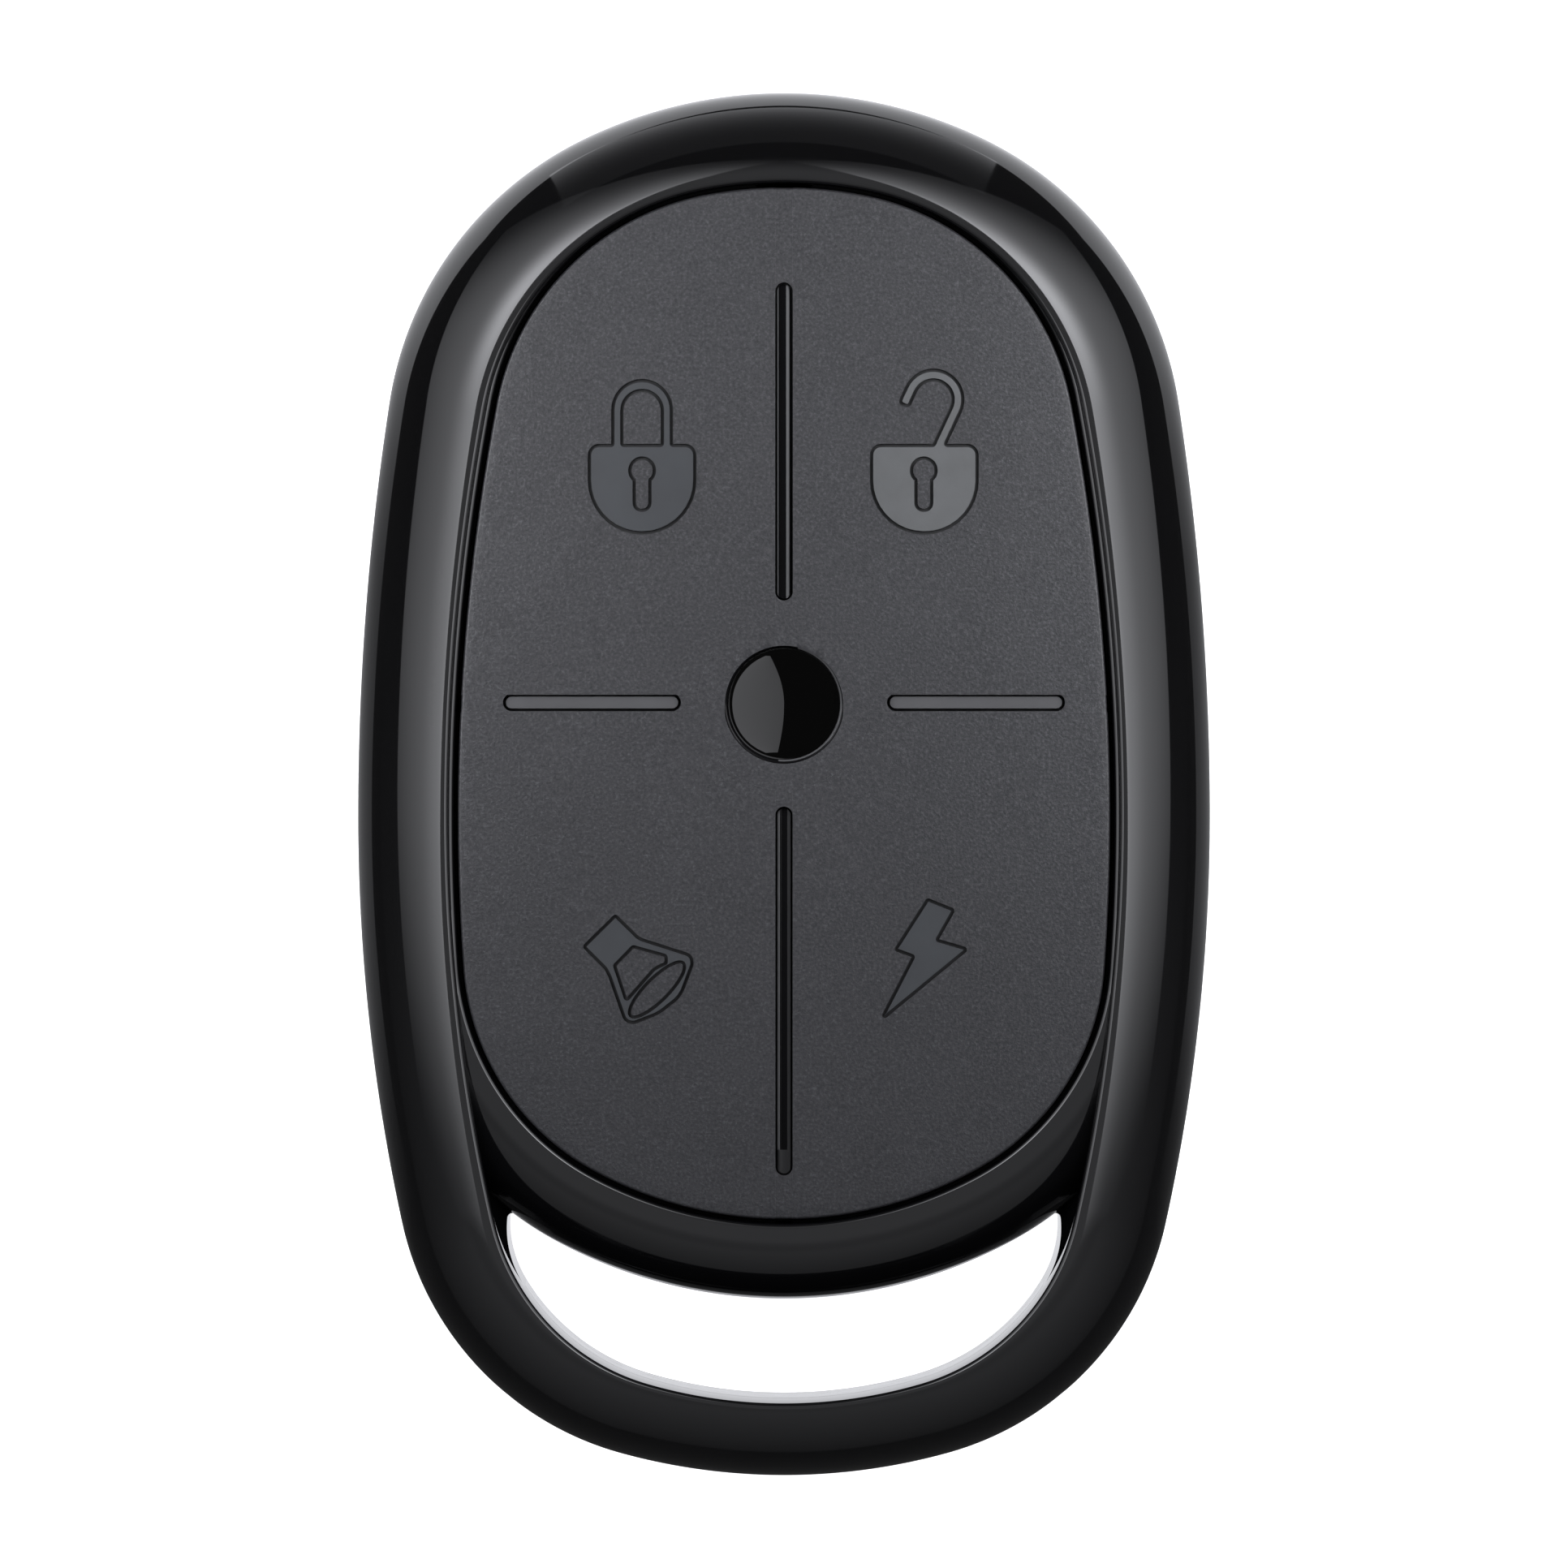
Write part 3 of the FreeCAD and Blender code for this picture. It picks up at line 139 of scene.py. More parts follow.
def turnOutward(piece):  # turns a closed piece right side out when its volume comes out negative
    corners = np.zeros(len(piece.data.vertices) * 3, np.float32)
    piece.data.vertices.foreach_get("co", corners)
    piece.data.calc_loop_triangles()
    triangles = np.zeros(len(piece.data.loop_triangles) * 3, np.int32)
    piece.data.loop_triangles.foreach_get("vertices", triangles)
    a, b, c = corners.reshape(-1, 3)[triangles.reshape(-1, 3)].astype(float).transpose(1, 0, 2)
    if np.einsum("ij,ij->", a, np.cross(b, c)) < 0:
        piece.data.flip_normals()


def paintFaces(piece, materials, choose):  # choose(x, y, z, up) picks a face's material, in mm
    piece.data.materials.clear()
    for material in materials:
        piece.data.materials.append(material)
    order = {material.name: number for number, material in enumerate(materials)}
    numbers = [order[choose(*(face.center / mm), face.normal.z).name] for face in piece.data.polygons]
    piece.data.polygons.foreach_set("material_index", numbers)


def tubeFaces(levels, count):  # the faces between level rings of points, lowest first
    faces = []
    for k in range(levels - 1):
        for i in range(count):
            after = (i + 1) % count
            faces.append((k * count + i, k * count + after, (k + 1) * count + after, (k + 1) * count + i))
    return faces


def stackLoops(name, loops, smooth=True):  # a closed solid through level loops, lowest first, with flat ends
    count = len(loops[0][0])
    points = [(x * mm, y * mm, z * mm) for outline, z in loops for x, y in outline]
    faces = tubeFaces(len(loops), count)
    faces += [tuple(range(count))[::-1], tuple(range((len(loops) - 1) * count, len(loops) * count))]
    return meshObject(name, points, faces, smooth)


def prism(name, outline, low, high):  # a straight solid over a closed anticlockwise outline, in mm
    return stackLoops(name, [(outline, low), (outline, high)], smooth=False)


def circleOutline(x, y, radius, count=96):
    angles = [2 * math.pi * i / count for i in range(count)]
    return [(x + radius * math.cos(angle), y + radius * math.sin(angle)) for angle in angles]


def rectangleOutline(x, y):  # half lengths, about the middle
    return [(-x, -y), (x, -y), (x, y), (-x, y)]


def stadiumOutline(start, end, half, count=24):  # a slot with round ends, from one end's tip to the other's
    start, end = Vector(start), Vector(end)
    along = (end - start).normalized()
    side = Vector((-along.y, along.x))
    outline = []
    ends = ((end - along * half, along, -side), (start + along * half, -along, side))
    for centre, direction, across in ends:
        for step in range(count + 1):
            angle = math.pi * step / count
            point = centre + across * math.cos(angle) * half + direction * math.sin(angle) * half
            outline.append(tuple(point))
    return outline


def heightBlock(name, xs, ys, topHeight, low):  # a block over a grid whose top follows topHeight(x, y)
    across, along = len(xs), len(ys)
    places = [(x, y) for y in ys for x in xs]
    points = [(x * mm, y * mm, low * mm) for x, y in places]
    points += [(x * mm, y * mm, topHeight(x, y) * mm) for x, y in places]
    top = len(places)
    faces = []
    for j in range(along - 1):
        for i in range(across - 1):
            first, above = j * across + i, (j + 1) * across + i
            cell = (first, first + 1, above + 1, above)
            faces += [tuple(top + corner for corner in cell), cell[::-1]]
    rim = list(range(across)) + [j * across + across - 1 for j in range(1, along)]
    rim += [(along - 1) * across + i for i in range(across - 2, -1, -1)]
    rim += [j * across for j in range(along - 2, 0, -1)]
    faces += [(a, b, top + b, top + a) for a, b in zip(rim, rim[1:] + rim[:1])]
    return meshObject(name, points, faces)


def quarterTurn(steps):  # points of a unit rounding: the first value grows from 0 to 1, the second falls to 0
    angles = [math.pi / 2 * step / steps for step in range(steps + 1)]
    return [(1 - math.cos(angle), 1 - math.sin(angle)) for angle in angles]


def roundedLoop(corners, steps=9, nearest=0.004):  # corners of (x, y, radius) to the rounded outline's points
    loop = []
    for i, (x, y, radius) in enumerate(corners):
        before, corner, after = (Vector(corners[k][:2]) for k in (i - 1, i, (i + 1) % len(corners)))
        towardsBefore, towardsAfter = (before - corner).normalized(), (after - corner).normalized()
        half = towardsBefore.angle(towardsAfter) / 2
        centre = corner + (towardsBefore + towardsAfter).normalized() * radius / math.sin(half)
        first = corner + towardsBefore * radius / math.tan(half) - centre
        turn = 1 if towardsBefore.x * towardsAfter.y < towardsBefore.y * towardsAfter.x else -1
        sweep = (math.pi - 2 * half) * turn
        for step in range(steps + 1):
            angle = sweep * step / steps
            point = (centre.x + first.x * math.cos(angle) - first.y * math.sin(angle),
                     centre.y + first.x * math.sin(angle) + first.y * math.cos(angle))
            if not loop or math.dist(point, loop[-1]) > nearest:
                loop.append(point)
    return loop if math.dist(loop[0], loop[-1]) > nearest else loop[:-1]


def insideLoops(loops, x, y):  # whether a point is inside an odd number of closed loops
    inside = False
    for loop in loops:
        for (ax, ay), (bx, by) in zip(loop, loop[1:] + loop[:1]):
            if (ay > y) != (by > y) and x < ax + (bx - ax) * (y - ay) / (by - ay):
                inside = not inside
    return inside


def lathe(name, profile, centre, count=128):  # turns a closed profile of radius and height, upright
    points, faces, rings = [], [], []
    for radius, height in profile:
        first = len(points)
        if radius == 0:
            rings.append([first] * count)
            points.append((centre[0] * mm, centre[1] * mm, height * mm))
        else:
            rings.append(list(range(first, first + count)))
            points += [(x * mm, y * mm, height * mm) for x, y in circleOutline(*centre, radius, count)]
    for low, high in zip(rings, rings[1:] + rings[:1]):
        for i in range(count):
            after = (i + 1) % count
            unique = list(dict.fromkeys((low[i], low[after], high[after], high[i])))
            if len(unique) > 2:
                faces.append(tuple(unique))
    return meshObject(name, points, faces)


# Node trees

def feed(tree, made, inputs):  # gives each input a fixed value, a socket or a node's first output
    for key, source in inputs.items():
        if isinstance(source, bpy.types.Node):
            source = source.outputs[0]
        if isinstance(source, bpy.types.NodeSocket):
            tree.links.new(source, made.inputs[key])
        else:
            made.inputs[key].default_value = source


def node(tree, kind, settings={}, inputs={}, **named):  # adds a node with its settings, values and links
    made = tree.nodes.new(kind)
    for key, value in settings.items():
        setattr(made, key, value)
    feed(tree, made, inputs)
    feed(tree, made, {key.replace("_", " "): source for key, source in named.items()})
    return made


def formula(tree, terms):  # nodes for a nested (operation, first, second); sockets and numbers stay
    if not isinstance(terms, tuple):
        return terms
    inputs = {i: formula(tree, term) for i, term in enumerate(terms[1:])}
    return node(tree, "ShaderNodeMath", {"operation": terms[0]}, inputs)


def openTree(name, sizes, objects=()):  # a Geometry Nodes tree and the sockets of what it takes in
    tree = bpy.data.node_groups.new(name, "GeometryNodeTree")
    kinds = [("Geometry", "Geometry")] + [(key, "Object") for key in objects]
    kinds += [(key, "Float") for key in sizes] + [("Material", "Material")]
    for key, kind in kinds:
        tree.interface.new_socket(key, in_out="INPUT", socket_type="NodeSocket" + kind)
    tree.interface.new_socket("Geometry", in_out="OUTPUT", socket_type="NodeSocketGeometry")
    return tree, tree.nodes.new("NodeGroupInput").outputs


def closeTree(tree, entry, shape):
    real = node(tree, "GeometryNodeRealizeInstances", Geometry=shape)
    finished = node(tree, "GeometryNodeSetMaterial", Geometry=real, Material=entry["Material"])
    node(tree, "NodeGroupOutput", {}, {0: finished})
    return tree


def runTree(piece, tree, **inputs):  # inputs are named as the tree's sockets, in camelCase
    modifier = piece.modifiers.new(tree.name, "NODES")
    modifier.node_group = tree
    for item in tree.interface.items_tree:
        key = item.name.replace(" ", "")
        key = key[0].lower() + key[1:]
        if item.in_out == "INPUT" and key in inputs:
            modifier[item.identifier] = inputs[key]
    return bakeModifiers(piece)


def crownSag(place, radius):  # how far a crowned face has sunk at a place away from its middle
    x, y = place.outputs[0], place.outputs[1]
    away = ("ADD", ("MULTIPLY", x, x), ("MULTIPLY", y, y))
    return ("SUBTRACT", radius, ("SQRT", ("SUBTRACT", ("MULTIPLY", radius, radius), away)))


def roundDrop(distance, radius):  # how far a rounding has dropped at a distance from its edge
    inside = ("MAXIMUM", ("SUBTRACT", radius, distance), 0.0)
    left = ("SUBTRACT", ("MULTIPLY", radius, radius), ("MULTIPLY", inside, inside))
    return ("SUBTRACT", radius, ("SQRT", ("MAXIMUM", left, 0.0)))


# Materials

def shade(code):  # an sRGB hex colour as the linear values that shaders take
    values = [int(code[i:i + 2], 16) / 255 for i in (1, 3, 5)]
    return tuple(v / 12.92 if v <= 0.04045 else ((v + 0.055) / 1.055) ** 2.4 for v in values) + (1.0,)


def newMaterial(name, colour, **sockets):  # the material, its tree, its shader and the place on the object
    material = bpy.data.materials.new(name)
    material.use_nodes = True
    tree = material.node_tree
    shader = tree.nodes["Principled BSDF"]
    feed(tree, shader, {"Base Color": colour})
    feed(tree, shader, {key.replace("_", " "): value for key, value in sockets.items()})
    return material, tree, shader, node(tree, "ShaderNodeTexCoord").outputs["Object"]


def glossyAbsMaterial():  # ABS from a polished mould: a hard mirror with the faint waves of moulded walls
    material, tree, shader, place = newMaterial("glossyBlackAbs", shade("#070708"), IOR=1.53)
    waves = node(tree, "ShaderNodeTexNoise", Vector=place, Scale=140.0, Detail=1.0)  # waves 7 mm long
    haze = node(tree, "ShaderNodeTexNoise", Vector=place, Scale=900.0, Detail=4.0)  # haze of handling, 1 mm
    spread = node(tree, "ShaderNodeMapRange", Value=haze, From_Min=0.35, From_Max=0.75,
                  To_Min=0.035, To_Max=0.075)
    relief = node(tree, "ShaderNodeBump", Height=waves, Strength=1.0, Distance=0.00001)
    feed(tree, shader, {"Roughness": spread, "Normal": relief})
    return material


def sparkedAbsMaterial():  # ABS from a spark-eroded mould: fine even grain that breaks the light up
    material, tree, shader, place = newMaterial("sparkedGreyAbs", shade("#1c1d1f"), IOR=1.37, Roughness=0.45)
    # grains of 0.15 mm, in clouds of 3 mm; each grain faces its own way and mirrors more or less
    grain = node(tree, "ShaderNodeTexNoise", Vector=place, Scale=7000.0, Detail=3.0, Roughness=0.7)
    glint = node(tree, "ShaderNodeMapRange", Value=grain, From_Min=0.3, From_Max=0.7, To_Min=0.3, To_Max=0.7)
    cloud = node(tree, "ShaderNodeTexNoise", Vector=place, Scale=300.0, Detail=2.0)
    tone = node(tree, "ShaderNodeMix", {"data_type": "RGBA"},
                {0: cloud, 6: shade("#1b1b1d"), 7: shade("#212123")})
    # the grains' tops are painted a little paler: painted glints, where the grains catch the light
    paintedGlint = node(tree, "ShaderNodeMapRange", Value=grain, From_Min=0.56, From_Max=0.74, To_Min=0.0, To_Max=1.0)
    glintColour = node(tree, "ShaderNodeMix", {"data_type": "RGBA"},
                  {0: paintedGlint, 6: tone.outputs[2], 7: shade("#2b2c2f")})
    relief = node(tree, "ShaderNodeBump", Height=grain, Strength=1.0, Distance=0.000018)
    feed(tree, shader, {"Specular IOR Level": glint, "Base Color": glintColour.outputs[2], "Normal": relief})
    return material


def satinAbsMaterial(name, light, dark, roughness, gloss):  # ABS from a stoned mould face: blurred mirror; its darker and paler copies carry painted shade and painted reflections
    material, tree, shader, place = newMaterial(name, shade(light), IOR=gloss, Roughness=roughness)
    cloud = node(tree, "ShaderNodeTexNoise", Vector=place, Scale=700.0, Detail=2.0)  # 1.4 mm clouds
    tone = node(tree, "ShaderNodeMix", {"data_type": "RGBA"}, {0: cloud, 6: shade(dark), 7: shade(light)})
    stoning = node(tree, "ShaderNodeTexNoise", Vector=place, Scale=9000.0, Detail=2.0)  # stone marks 0.1 mm
    relief = node(tree, "ShaderNodeBump", Height=stoning, Strength=1.0, Distance=0.000002)
    feed(tree, shader, {"Base Color": tone.outputs[2], "Normal": relief})
    return material


def smokedLensMaterial():  # polished smoked polycarbonate: nearly black, the sharpest mirror on the part
    material, tree, shader, place = newMaterial("smokedPolycarbonate", shade("#030303"),
                                                IOR=1.585, Roughness=0.02)
    swirl = node(tree, "ShaderNodeTexNoise", Vector=place, Scale=500.0, Detail=1.0)  # 2 mm flow marks
    relief = node(tree, "ShaderNodeBump", Height=swirl, Strength=1.0, Distance=0.000002)
    feed(tree, shader, {"Normal": relief})
    return material


def metalMaterial(name, light, dark, roughness, grainScale):  # bare metal with the marks of drawing
    material, tree, shader, place = newMaterial(name, shade(light), Metallic=1.0)
    stretched = node(tree, "ShaderNodeMapping", Vector=place, Scale=(1.0, 0.12, 1.0))
    marks = node(tree, "ShaderNodeTexNoise", Vector=stretched, Scale=grainScale, Detail=4.0)
    tone = node(tree, "ShaderNodeMix", {"data_type": "RGBA"}, {0: marks, 6: shade(dark), 7: shade(light)})
    spread = node(tree, "ShaderNodeMapRange", Value=marks, To_Min=roughness * 0.7, To_Max=roughness * 1.3)
    relief = node(tree, "ShaderNodeBump", Height=marks, Strength=1.0, Distance=0.000002)
    feed(tree, shader, {"Base Color": tone.outputs[2], "Roughness": spread, "Normal": relief})
    return material


def mouldedMaterial(name, light, dark, roughness, grainScale):  # small moulded parts: slightly mottled
    material, tree, shader, place = newMaterial(name, shade(light), Roughness=roughness)
    mottle = node(tree, "ShaderNodeTexNoise", Vector=place, Scale=grainScale, Detail=5.0)
    tone = node(tree, "ShaderNodeMix", {"data_type": "RGBA"}, {0: mottle, 6: shade(dark), 7: shade(light)})
    relief = node(tree, "ShaderNodeBump", Height=mottle, Strength=1.0, Distance=0.000008)
    feed(tree, shader, {"Base Color": tone.outputs[2], "Normal": relief})
    return material


glossAbs = glossyAbsMaterial()
sparkedAbs = sparkedAbsMaterial()
# dark grey painted into the icons' channels and onto the grooves' walls as painted shade in the recesses, and
# onto a strip and the low end of the down groove
paintedShadeAbs = satinAbsMaterial("engravedGreyAbs", "#0d0d0e", "#0a0a0b", 0.4, 1.36)
satinAbs = satinAbsMaterial("satinGreyAbs", "#2e3032", "#28292b", 0.3, 1.47)
# a paler copy of the satin fill: painted reflection of the light on the right, on the unlock icon
litFillAbs = satinAbsMaterial("paleSatinAbs", "#494a4b", "#3f4040", 0.27, 1.47)
# pale grey painted onto the side grooves' floors, a strip of the down groove and a line on the bore's rim:
# painted reflections of the lights
paleReflectionAbs = satinAbsMaterial("grooveFloorAbs", "#3f3f40", "#373738", 0.27, 1.42)
# grey stripes painted along the up groove's floor: painted reflections of the lights beside the dark middle
greyStripeAbs = satinAbsMaterial("stonedGreyAbs", "#1b1c1e", "#17181a", 0.4, 1.46)
# near black, with almost no mirror: painted shade under the panel, in its gaps and round the lens, and
# painted dark reflections in the grooves
paintedBlackAbs = satinAbsMaterial("polishedGrooveAbs", "#080809", "#070707", 0.07, 1.12)
smokedLens = smokedLensMaterial()
platedSteel = metalMaterial("zincPlatedSteel", "#c4c6c8", "#9a9da0", 0.3, 2500.0)


# Bands: strips between two outlines, raised to a pillow section by one Geometry Nodes tree

def raisedBandTree():
    sizes = ("Crown Height", "Crown Radius", "Outer Round", "Inner Round", "Foot Height", "Sink Direction")
    tree, entry = openTree("raisedBand", sizes)
    place = node(tree, "ShaderNodeSeparateXYZ", {}, {0: node(tree, "GeometryNodeInputPosition")})
    fromOuter, fromInner, footRise, isFoot = (
        node(tree, "GeometryNodeInputNamedAttribute", {"data_type": "FLOAT"}, Name=name)
        for name in ("fromOuter", "fromInner", "footRise", "isFoot"))
    rounds = ("ADD", roundDrop(fromOuter, entry["Outer Round"]), roundDrop(fromInner, entry["Inner Round"]))
    drop = ("ADD", crownSag(place, entry["Crown Radius"]), rounds)
    top = ("ADD", entry["Crown Height"], ("MULTIPLY", drop, entry["Sink Direction"]))
    foot = ("ADD", entry["Foot Height"], footRise)
    height = ("ADD", ("MULTIPLY", top, ("SUBTRACT", 1.0, isFoot)), ("MULTIPLY", foot, isFoot))
    raised = node(tree, "ShaderNodeCombineXYZ", {},
                  {0: place.outputs[0], 1: place.outputs[1], 2: formula(tree, height)})
    moved = node(tree, "GeometryNodeSetPosition", Geometry=entry["Geometry"], Position=raised)
    return closeTree(tree, entry, moved)


bandTree = raisedBandTree()


def reachInside(points, outward, sizes, margin):  # how far in from each point the inner outline lies
    reach = np.zeros(len(points))
    step = 8.0
    while step > 1e-5:
        tried = reach + step
        outside = depthInside(sizes, points - outward * tried[:, None], margin) > 0
        reach = np.where(outside, reach, tried)
        step /= 2
    return reach


def bandStrip(name, points, outward, innerSizes, innerMargin, rounds, footChamfer,
              acrossSteps=26, innerSteps=8):
    # closed tube between an outline and the one inside it, still flat: the tree gives it its heights
    reach = reachInside(points, outward, innerSizes, innerMargin)
    outerRound, innerRound = rounds
    flat = reach - innerRound
    turnEnd = np.arccos(np.clip(1 - flat / outerRound, -1, 1))
    columns = []
    for i in range(acrossSteps + 1):
        plain = outerRound * (1 - np.cos(np.minimum(turnEnd, math.pi / 2) * i / acrossSteps))
        stretched = plain + (flat - outerRound) * (i / acrossSteps) ** 3
        columns.append(np.where(flat > outerRound, stretched, plain))
    for i in range(1, innerSteps + 1):
        columns.append(reach - innerRound * (1 - math.sin(math.pi / 2 * i / innerSteps)))
    rises, isFoot = [0.0] * len(columns), [0.0] * len(columns)
    inset = abs(footChamfer)
    feet = ((reach, footChamfer), (reach - inset, 0.0), (reach * 0 + inset, 0.0), (reach * 0, footChamfer))
    for distance, rise in feet:
        columns.append(distance)
        rises.append(rise)
        isFoot.append(1.0)
    rows, width = len(points), len(columns)
    laid = np.stack([points - outward * distance[:, None] for distance in columns], axis=1).reshape(-1, 2)
    faces = []
    for i in range(rows):
        here, after = i * width, (i + 1) % rows * width
        for j in range(width):
            beside = (j + 1) % width
            faces.append((here + j, after + j, after + beside, here + beside))
    piece = meshObject(name, [(x * mm, y * mm, 0) for x, y in laid], faces)
    addAttribute(piece, "fromOuter", np.stack(columns, axis=1).reshape(-1) * mm)
    addAttribute(piece, "fromInner", np.maximum(-depthInside(innerSizes, laid, innerMargin), 0) * mm)
    addAttribute(piece, "footRise", np.tile(rises, rows) * mm)
    addAttribute(piece, "isFoot", np.tile(isFoot, rows))
    return piece


# Front and rear shell

shell = {"ringCrown": 12.6, "keyCrown": 12.1, "crownRadius": 350.0, "parting": 6.0, "partingChamfer": 0.05,
         # outer and inner rounding of the three bands
         "ringRounds": (4.6, 0.3), "bridgeRounds": (3.4, 0.25), "backRounds": (2.0, 0.4),
         "bridgeWidth": 3.85, "fieldGap": 0.2, "roof": 10.0, "backInset": 0.04,
         "backWall": 1.5, "frontWall": 0.95, "rearWall": 1.75}
web = {"cornerRound": 0.22, "top": 9.2, "slope": 1.1, "start": -23.6, "length": 6.0, "growth": 0.052,
       "overlap": 0.25, "spacing": 0.05}


def makeBand(name, outer, inner, crown, rounds, up=1):  # up is -1 for a flat band that faces down
    piece = bandStrip(name, *outer, *inner, rounds, shell["partingChamfer"] * up)
    crownRadius = shell["crownRadius"] if up > 0 else flatRadius
    return runTree(piece, bandTree, crownHeight=crown * mm, crownRadius=crownRadius * mm,
                   outerRound=rounds[0] * mm, innerRound=rounds[1] * mm, footHeight=shell["parting"] * mm,
                   sinkDirection=-float(up), material=glossAbs)


def slotCornerWeb(side):  # plan of the web that thickens the ring's inner wall where it runs into the bridge
    beforeCorner, alongBridge, pastCorner, stride = 6, 14, 36, 6  # numbers of samples
    ring, ringOut = outlineSamples(bezelOutline, spacing=web["spacing"])
    rise = ring[:, 1] - web["start"]
    left = (ring[:, 0] < 0) & (rise > 0) & (rise < web["length"])
    order = np.argsort(ring[left][:, 1])
    ring, ringOut, rise = ring[left][order], ringOut[left][order], rise[left][order]
    wall = ring - ringOut * (web["growth"] * rise ** 2)[:, None]
    meeting = int(np.argmax(depthInside(fieldOutline, wall, shell["bridgeWidth"]) > 0))
    bridge, bridgeOut = outlineSamples(fieldOutline, shell["bridgeWidth"], web["spacing"])
    near = int(np.argmin(np.hypot(*(bridge - wall[meeting]).T)))
    forward = bridge[near + alongBridge][0] > bridge[near][0]
    along = bridge[near + alongBridge] if forward else bridge[near - alongBridge]
    corners = [(x, y, 0.0) for x, y in wall[:meeting - beforeCorner]]
    corners += [(*bridge[near], web["cornerRound"]), (*along, 0.0)]
    corners.append((*(along - bridgeOut[near] * web["overlap"]), 0.0))
    last = min(meeting + pastCorner, len(ring) - 1)
    corners += [(*(ring[k] + ringOut[k] * web["overlap"]), 0.0) for k in range(last, -1, -stride)]
    outline = roundedLoop(corners)
    area = sum(p[0] * q[1] - q[0] * p[1] for p, q in zip(outline, outline[1:] + outline[:1]))
    outline = outline if area > 0 else outline[::-1]
    return outline if side < 0 else [(-x, y) for x, y in outline[::-1]]


def frontCornerWeb(side):  # its top slopes into the slot, where it mirrors the dark wall
    piece = prism("cornerWeb", slotCornerWeb(side), shell["parting"], web["top"])
    widest = max(abs(vertex.co.x) for vertex in piece.data.vertices)
    for vertex in piece.data.vertices[len(piece.data.vertices) // 2:]:
        vertex.co.z -= web["slope"] * (widest - abs(vertex.co.x))
    return piece


def makeFrontShell():
    ring = makeBand("frontShell", outlineSamples(caseOutline), (bezelOutline, 0.0), shell["ringCrown"],
                    shell["ringRounds"])
    bridge = makeBand("bridge", outlineSamples(fieldOutline, shell["bridgeWidth"]),
                      (fieldOutline, shell["fieldGap"]), shell["keyCrown"], shell["bridgeRounds"])
    combine(ring, bridge, "UNION")
    for side in (-1, 1):
        combine(ring, frontCornerWeb(side), "UNION")
    cavity = outlineSamples(fieldOutline, shell["bridgeWidth"] - shell["frontWall"])[0]
    combine(ring, prism("frontCavity", cavity, shell["parting"] - beyond, shell["roof"]))
    return ring


def makeRearShell():
    casePoints, caseOutward = outlineSamples(caseOutline)
    backRound, slotRound = shell["backRounds"]
    ring = makeBand("rearShell", (casePoints, caseOutward), (bezelOutline, 0.0), 0.0, shell["backRounds"], -1)
    ring.data.flip_normals()
    podPoints, podOutward = outlineSamples(fieldOutline, shell["bridgeWidth"])
    loops = [(podPoints - podOutward * slotRound * inset, slotRound * rise) for rise, inset in quarterTurn(8)]
    pod = stackLoops("rearPod", loops + [(podPoints, shell["parting"])])
    loops = []
    for rise, inset in quarterTurn(12):  # a hair inside the ring's rounding, so that no step shows
        loops.append((casePoints - caseOutward * (backRound * inset + shell["backInset"]), backRound * rise))
    loops.append((casePoints - caseOutward * shell["backInset"], shell["parting"] + beyond))
    combine(pod, stackLoops("backLimit", loops), "INTERSECT")
    combine(ring, pod, "UNION")
    for side in (-1, 1):
        combine(ring, prism("cornerWeb", slotCornerWeb(side), slotRound, shell["parting"]), "UNION")
    cavity = outlineSamples(fieldOutline, shell["bridgeWidth"] - shell["rearWall"])[0]
    combine(ring, prism("rearCavity", cavity, shell["backWall"], shell["parting"] + beyond))
    return ring


def finishPiece(piece, body, nodes, sharpAngle=32):
    piece.data.set_sharp_from_angle(angle=math.radians(sharpAngle))
    piece.data.polygons.foreach_set("use_smooth", [True] * len(piece.data.polygons))
    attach(piece, body)
    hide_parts(*nodes)
    print("made", piece.name, len(piece.data.polygons), "faces")
    return piece


frontShell = makeFrontShell()
rearShell = makeRearShell()


# Panel: one domed blank, split into the four keys and the frame's cross

panel = {"crown": 12.1, "crownRadius": 350.0, "edgeRound": 0.13, "underside": 10.2, "lensUp": 3.75,
         "flangeLow": 9.15, "flangeHigh": 9.9, "flangeWidth": 0.9, "flangeOverlap": 0.001,
         "splitHalf": 0.41, "hairGap": 0.002,
         "bossRadius": 4.04, "plungerRadius": 1.2, "plungerLow": 8.56, "screwUp": 29.4, "screwClear": 1.95,
         "cutLow": 5.0, "cutHigh": 15.0}  # the last two are heights well below and above the panel


def domeHeight(x, y, drop=0.0):
    return panel["crown"] - drop - panel["crownRadius"] + math.sqrt(panel["crownRadius"] ** 2 - x * x - y * y)


def domedBlank(name, low, margin=0.0, rings=40, edgeSteps=6):  # the whole field, domed, its edge rounded
    points, outward = outlineSamples(fieldOutline, margin, spacing=0.2)
    edgeRound = panel["edgeRound"]
    middle = np.array((0.0, panel["lensUp"]))
    loops = []
    for inset, drop in quarterTurn(edgeSteps):
        loops.append((points - outward * edgeRound * inset, edgeRound * drop))
    edge = loops[-1][0]
    loops += [(middle + (edge - middle) * (1 - step / rings), 0.0) for step in range(1, rings)]
    vertices = [(x * mm, y * mm, low * mm) for x, y in points]
    for outline, drop in loops:
        vertices += [(x * mm, y * mm, domeHeight(x, y, drop) * mm) for x, y in outline]
    count = len(points)
    last, tip = len(vertices) - count, len(vertices)
    vertices.append((0, middle[1] * mm, domeHeight(0, middle[1]) * mm))
    faces = tubeFaces(len(loops) + 1, count) + [(last + i, last + (i + 1) % count, tip) for i in range(count)]
    faces.append(tuple(range(count))[::-1])
    return meshObject(name, vertices, faces)


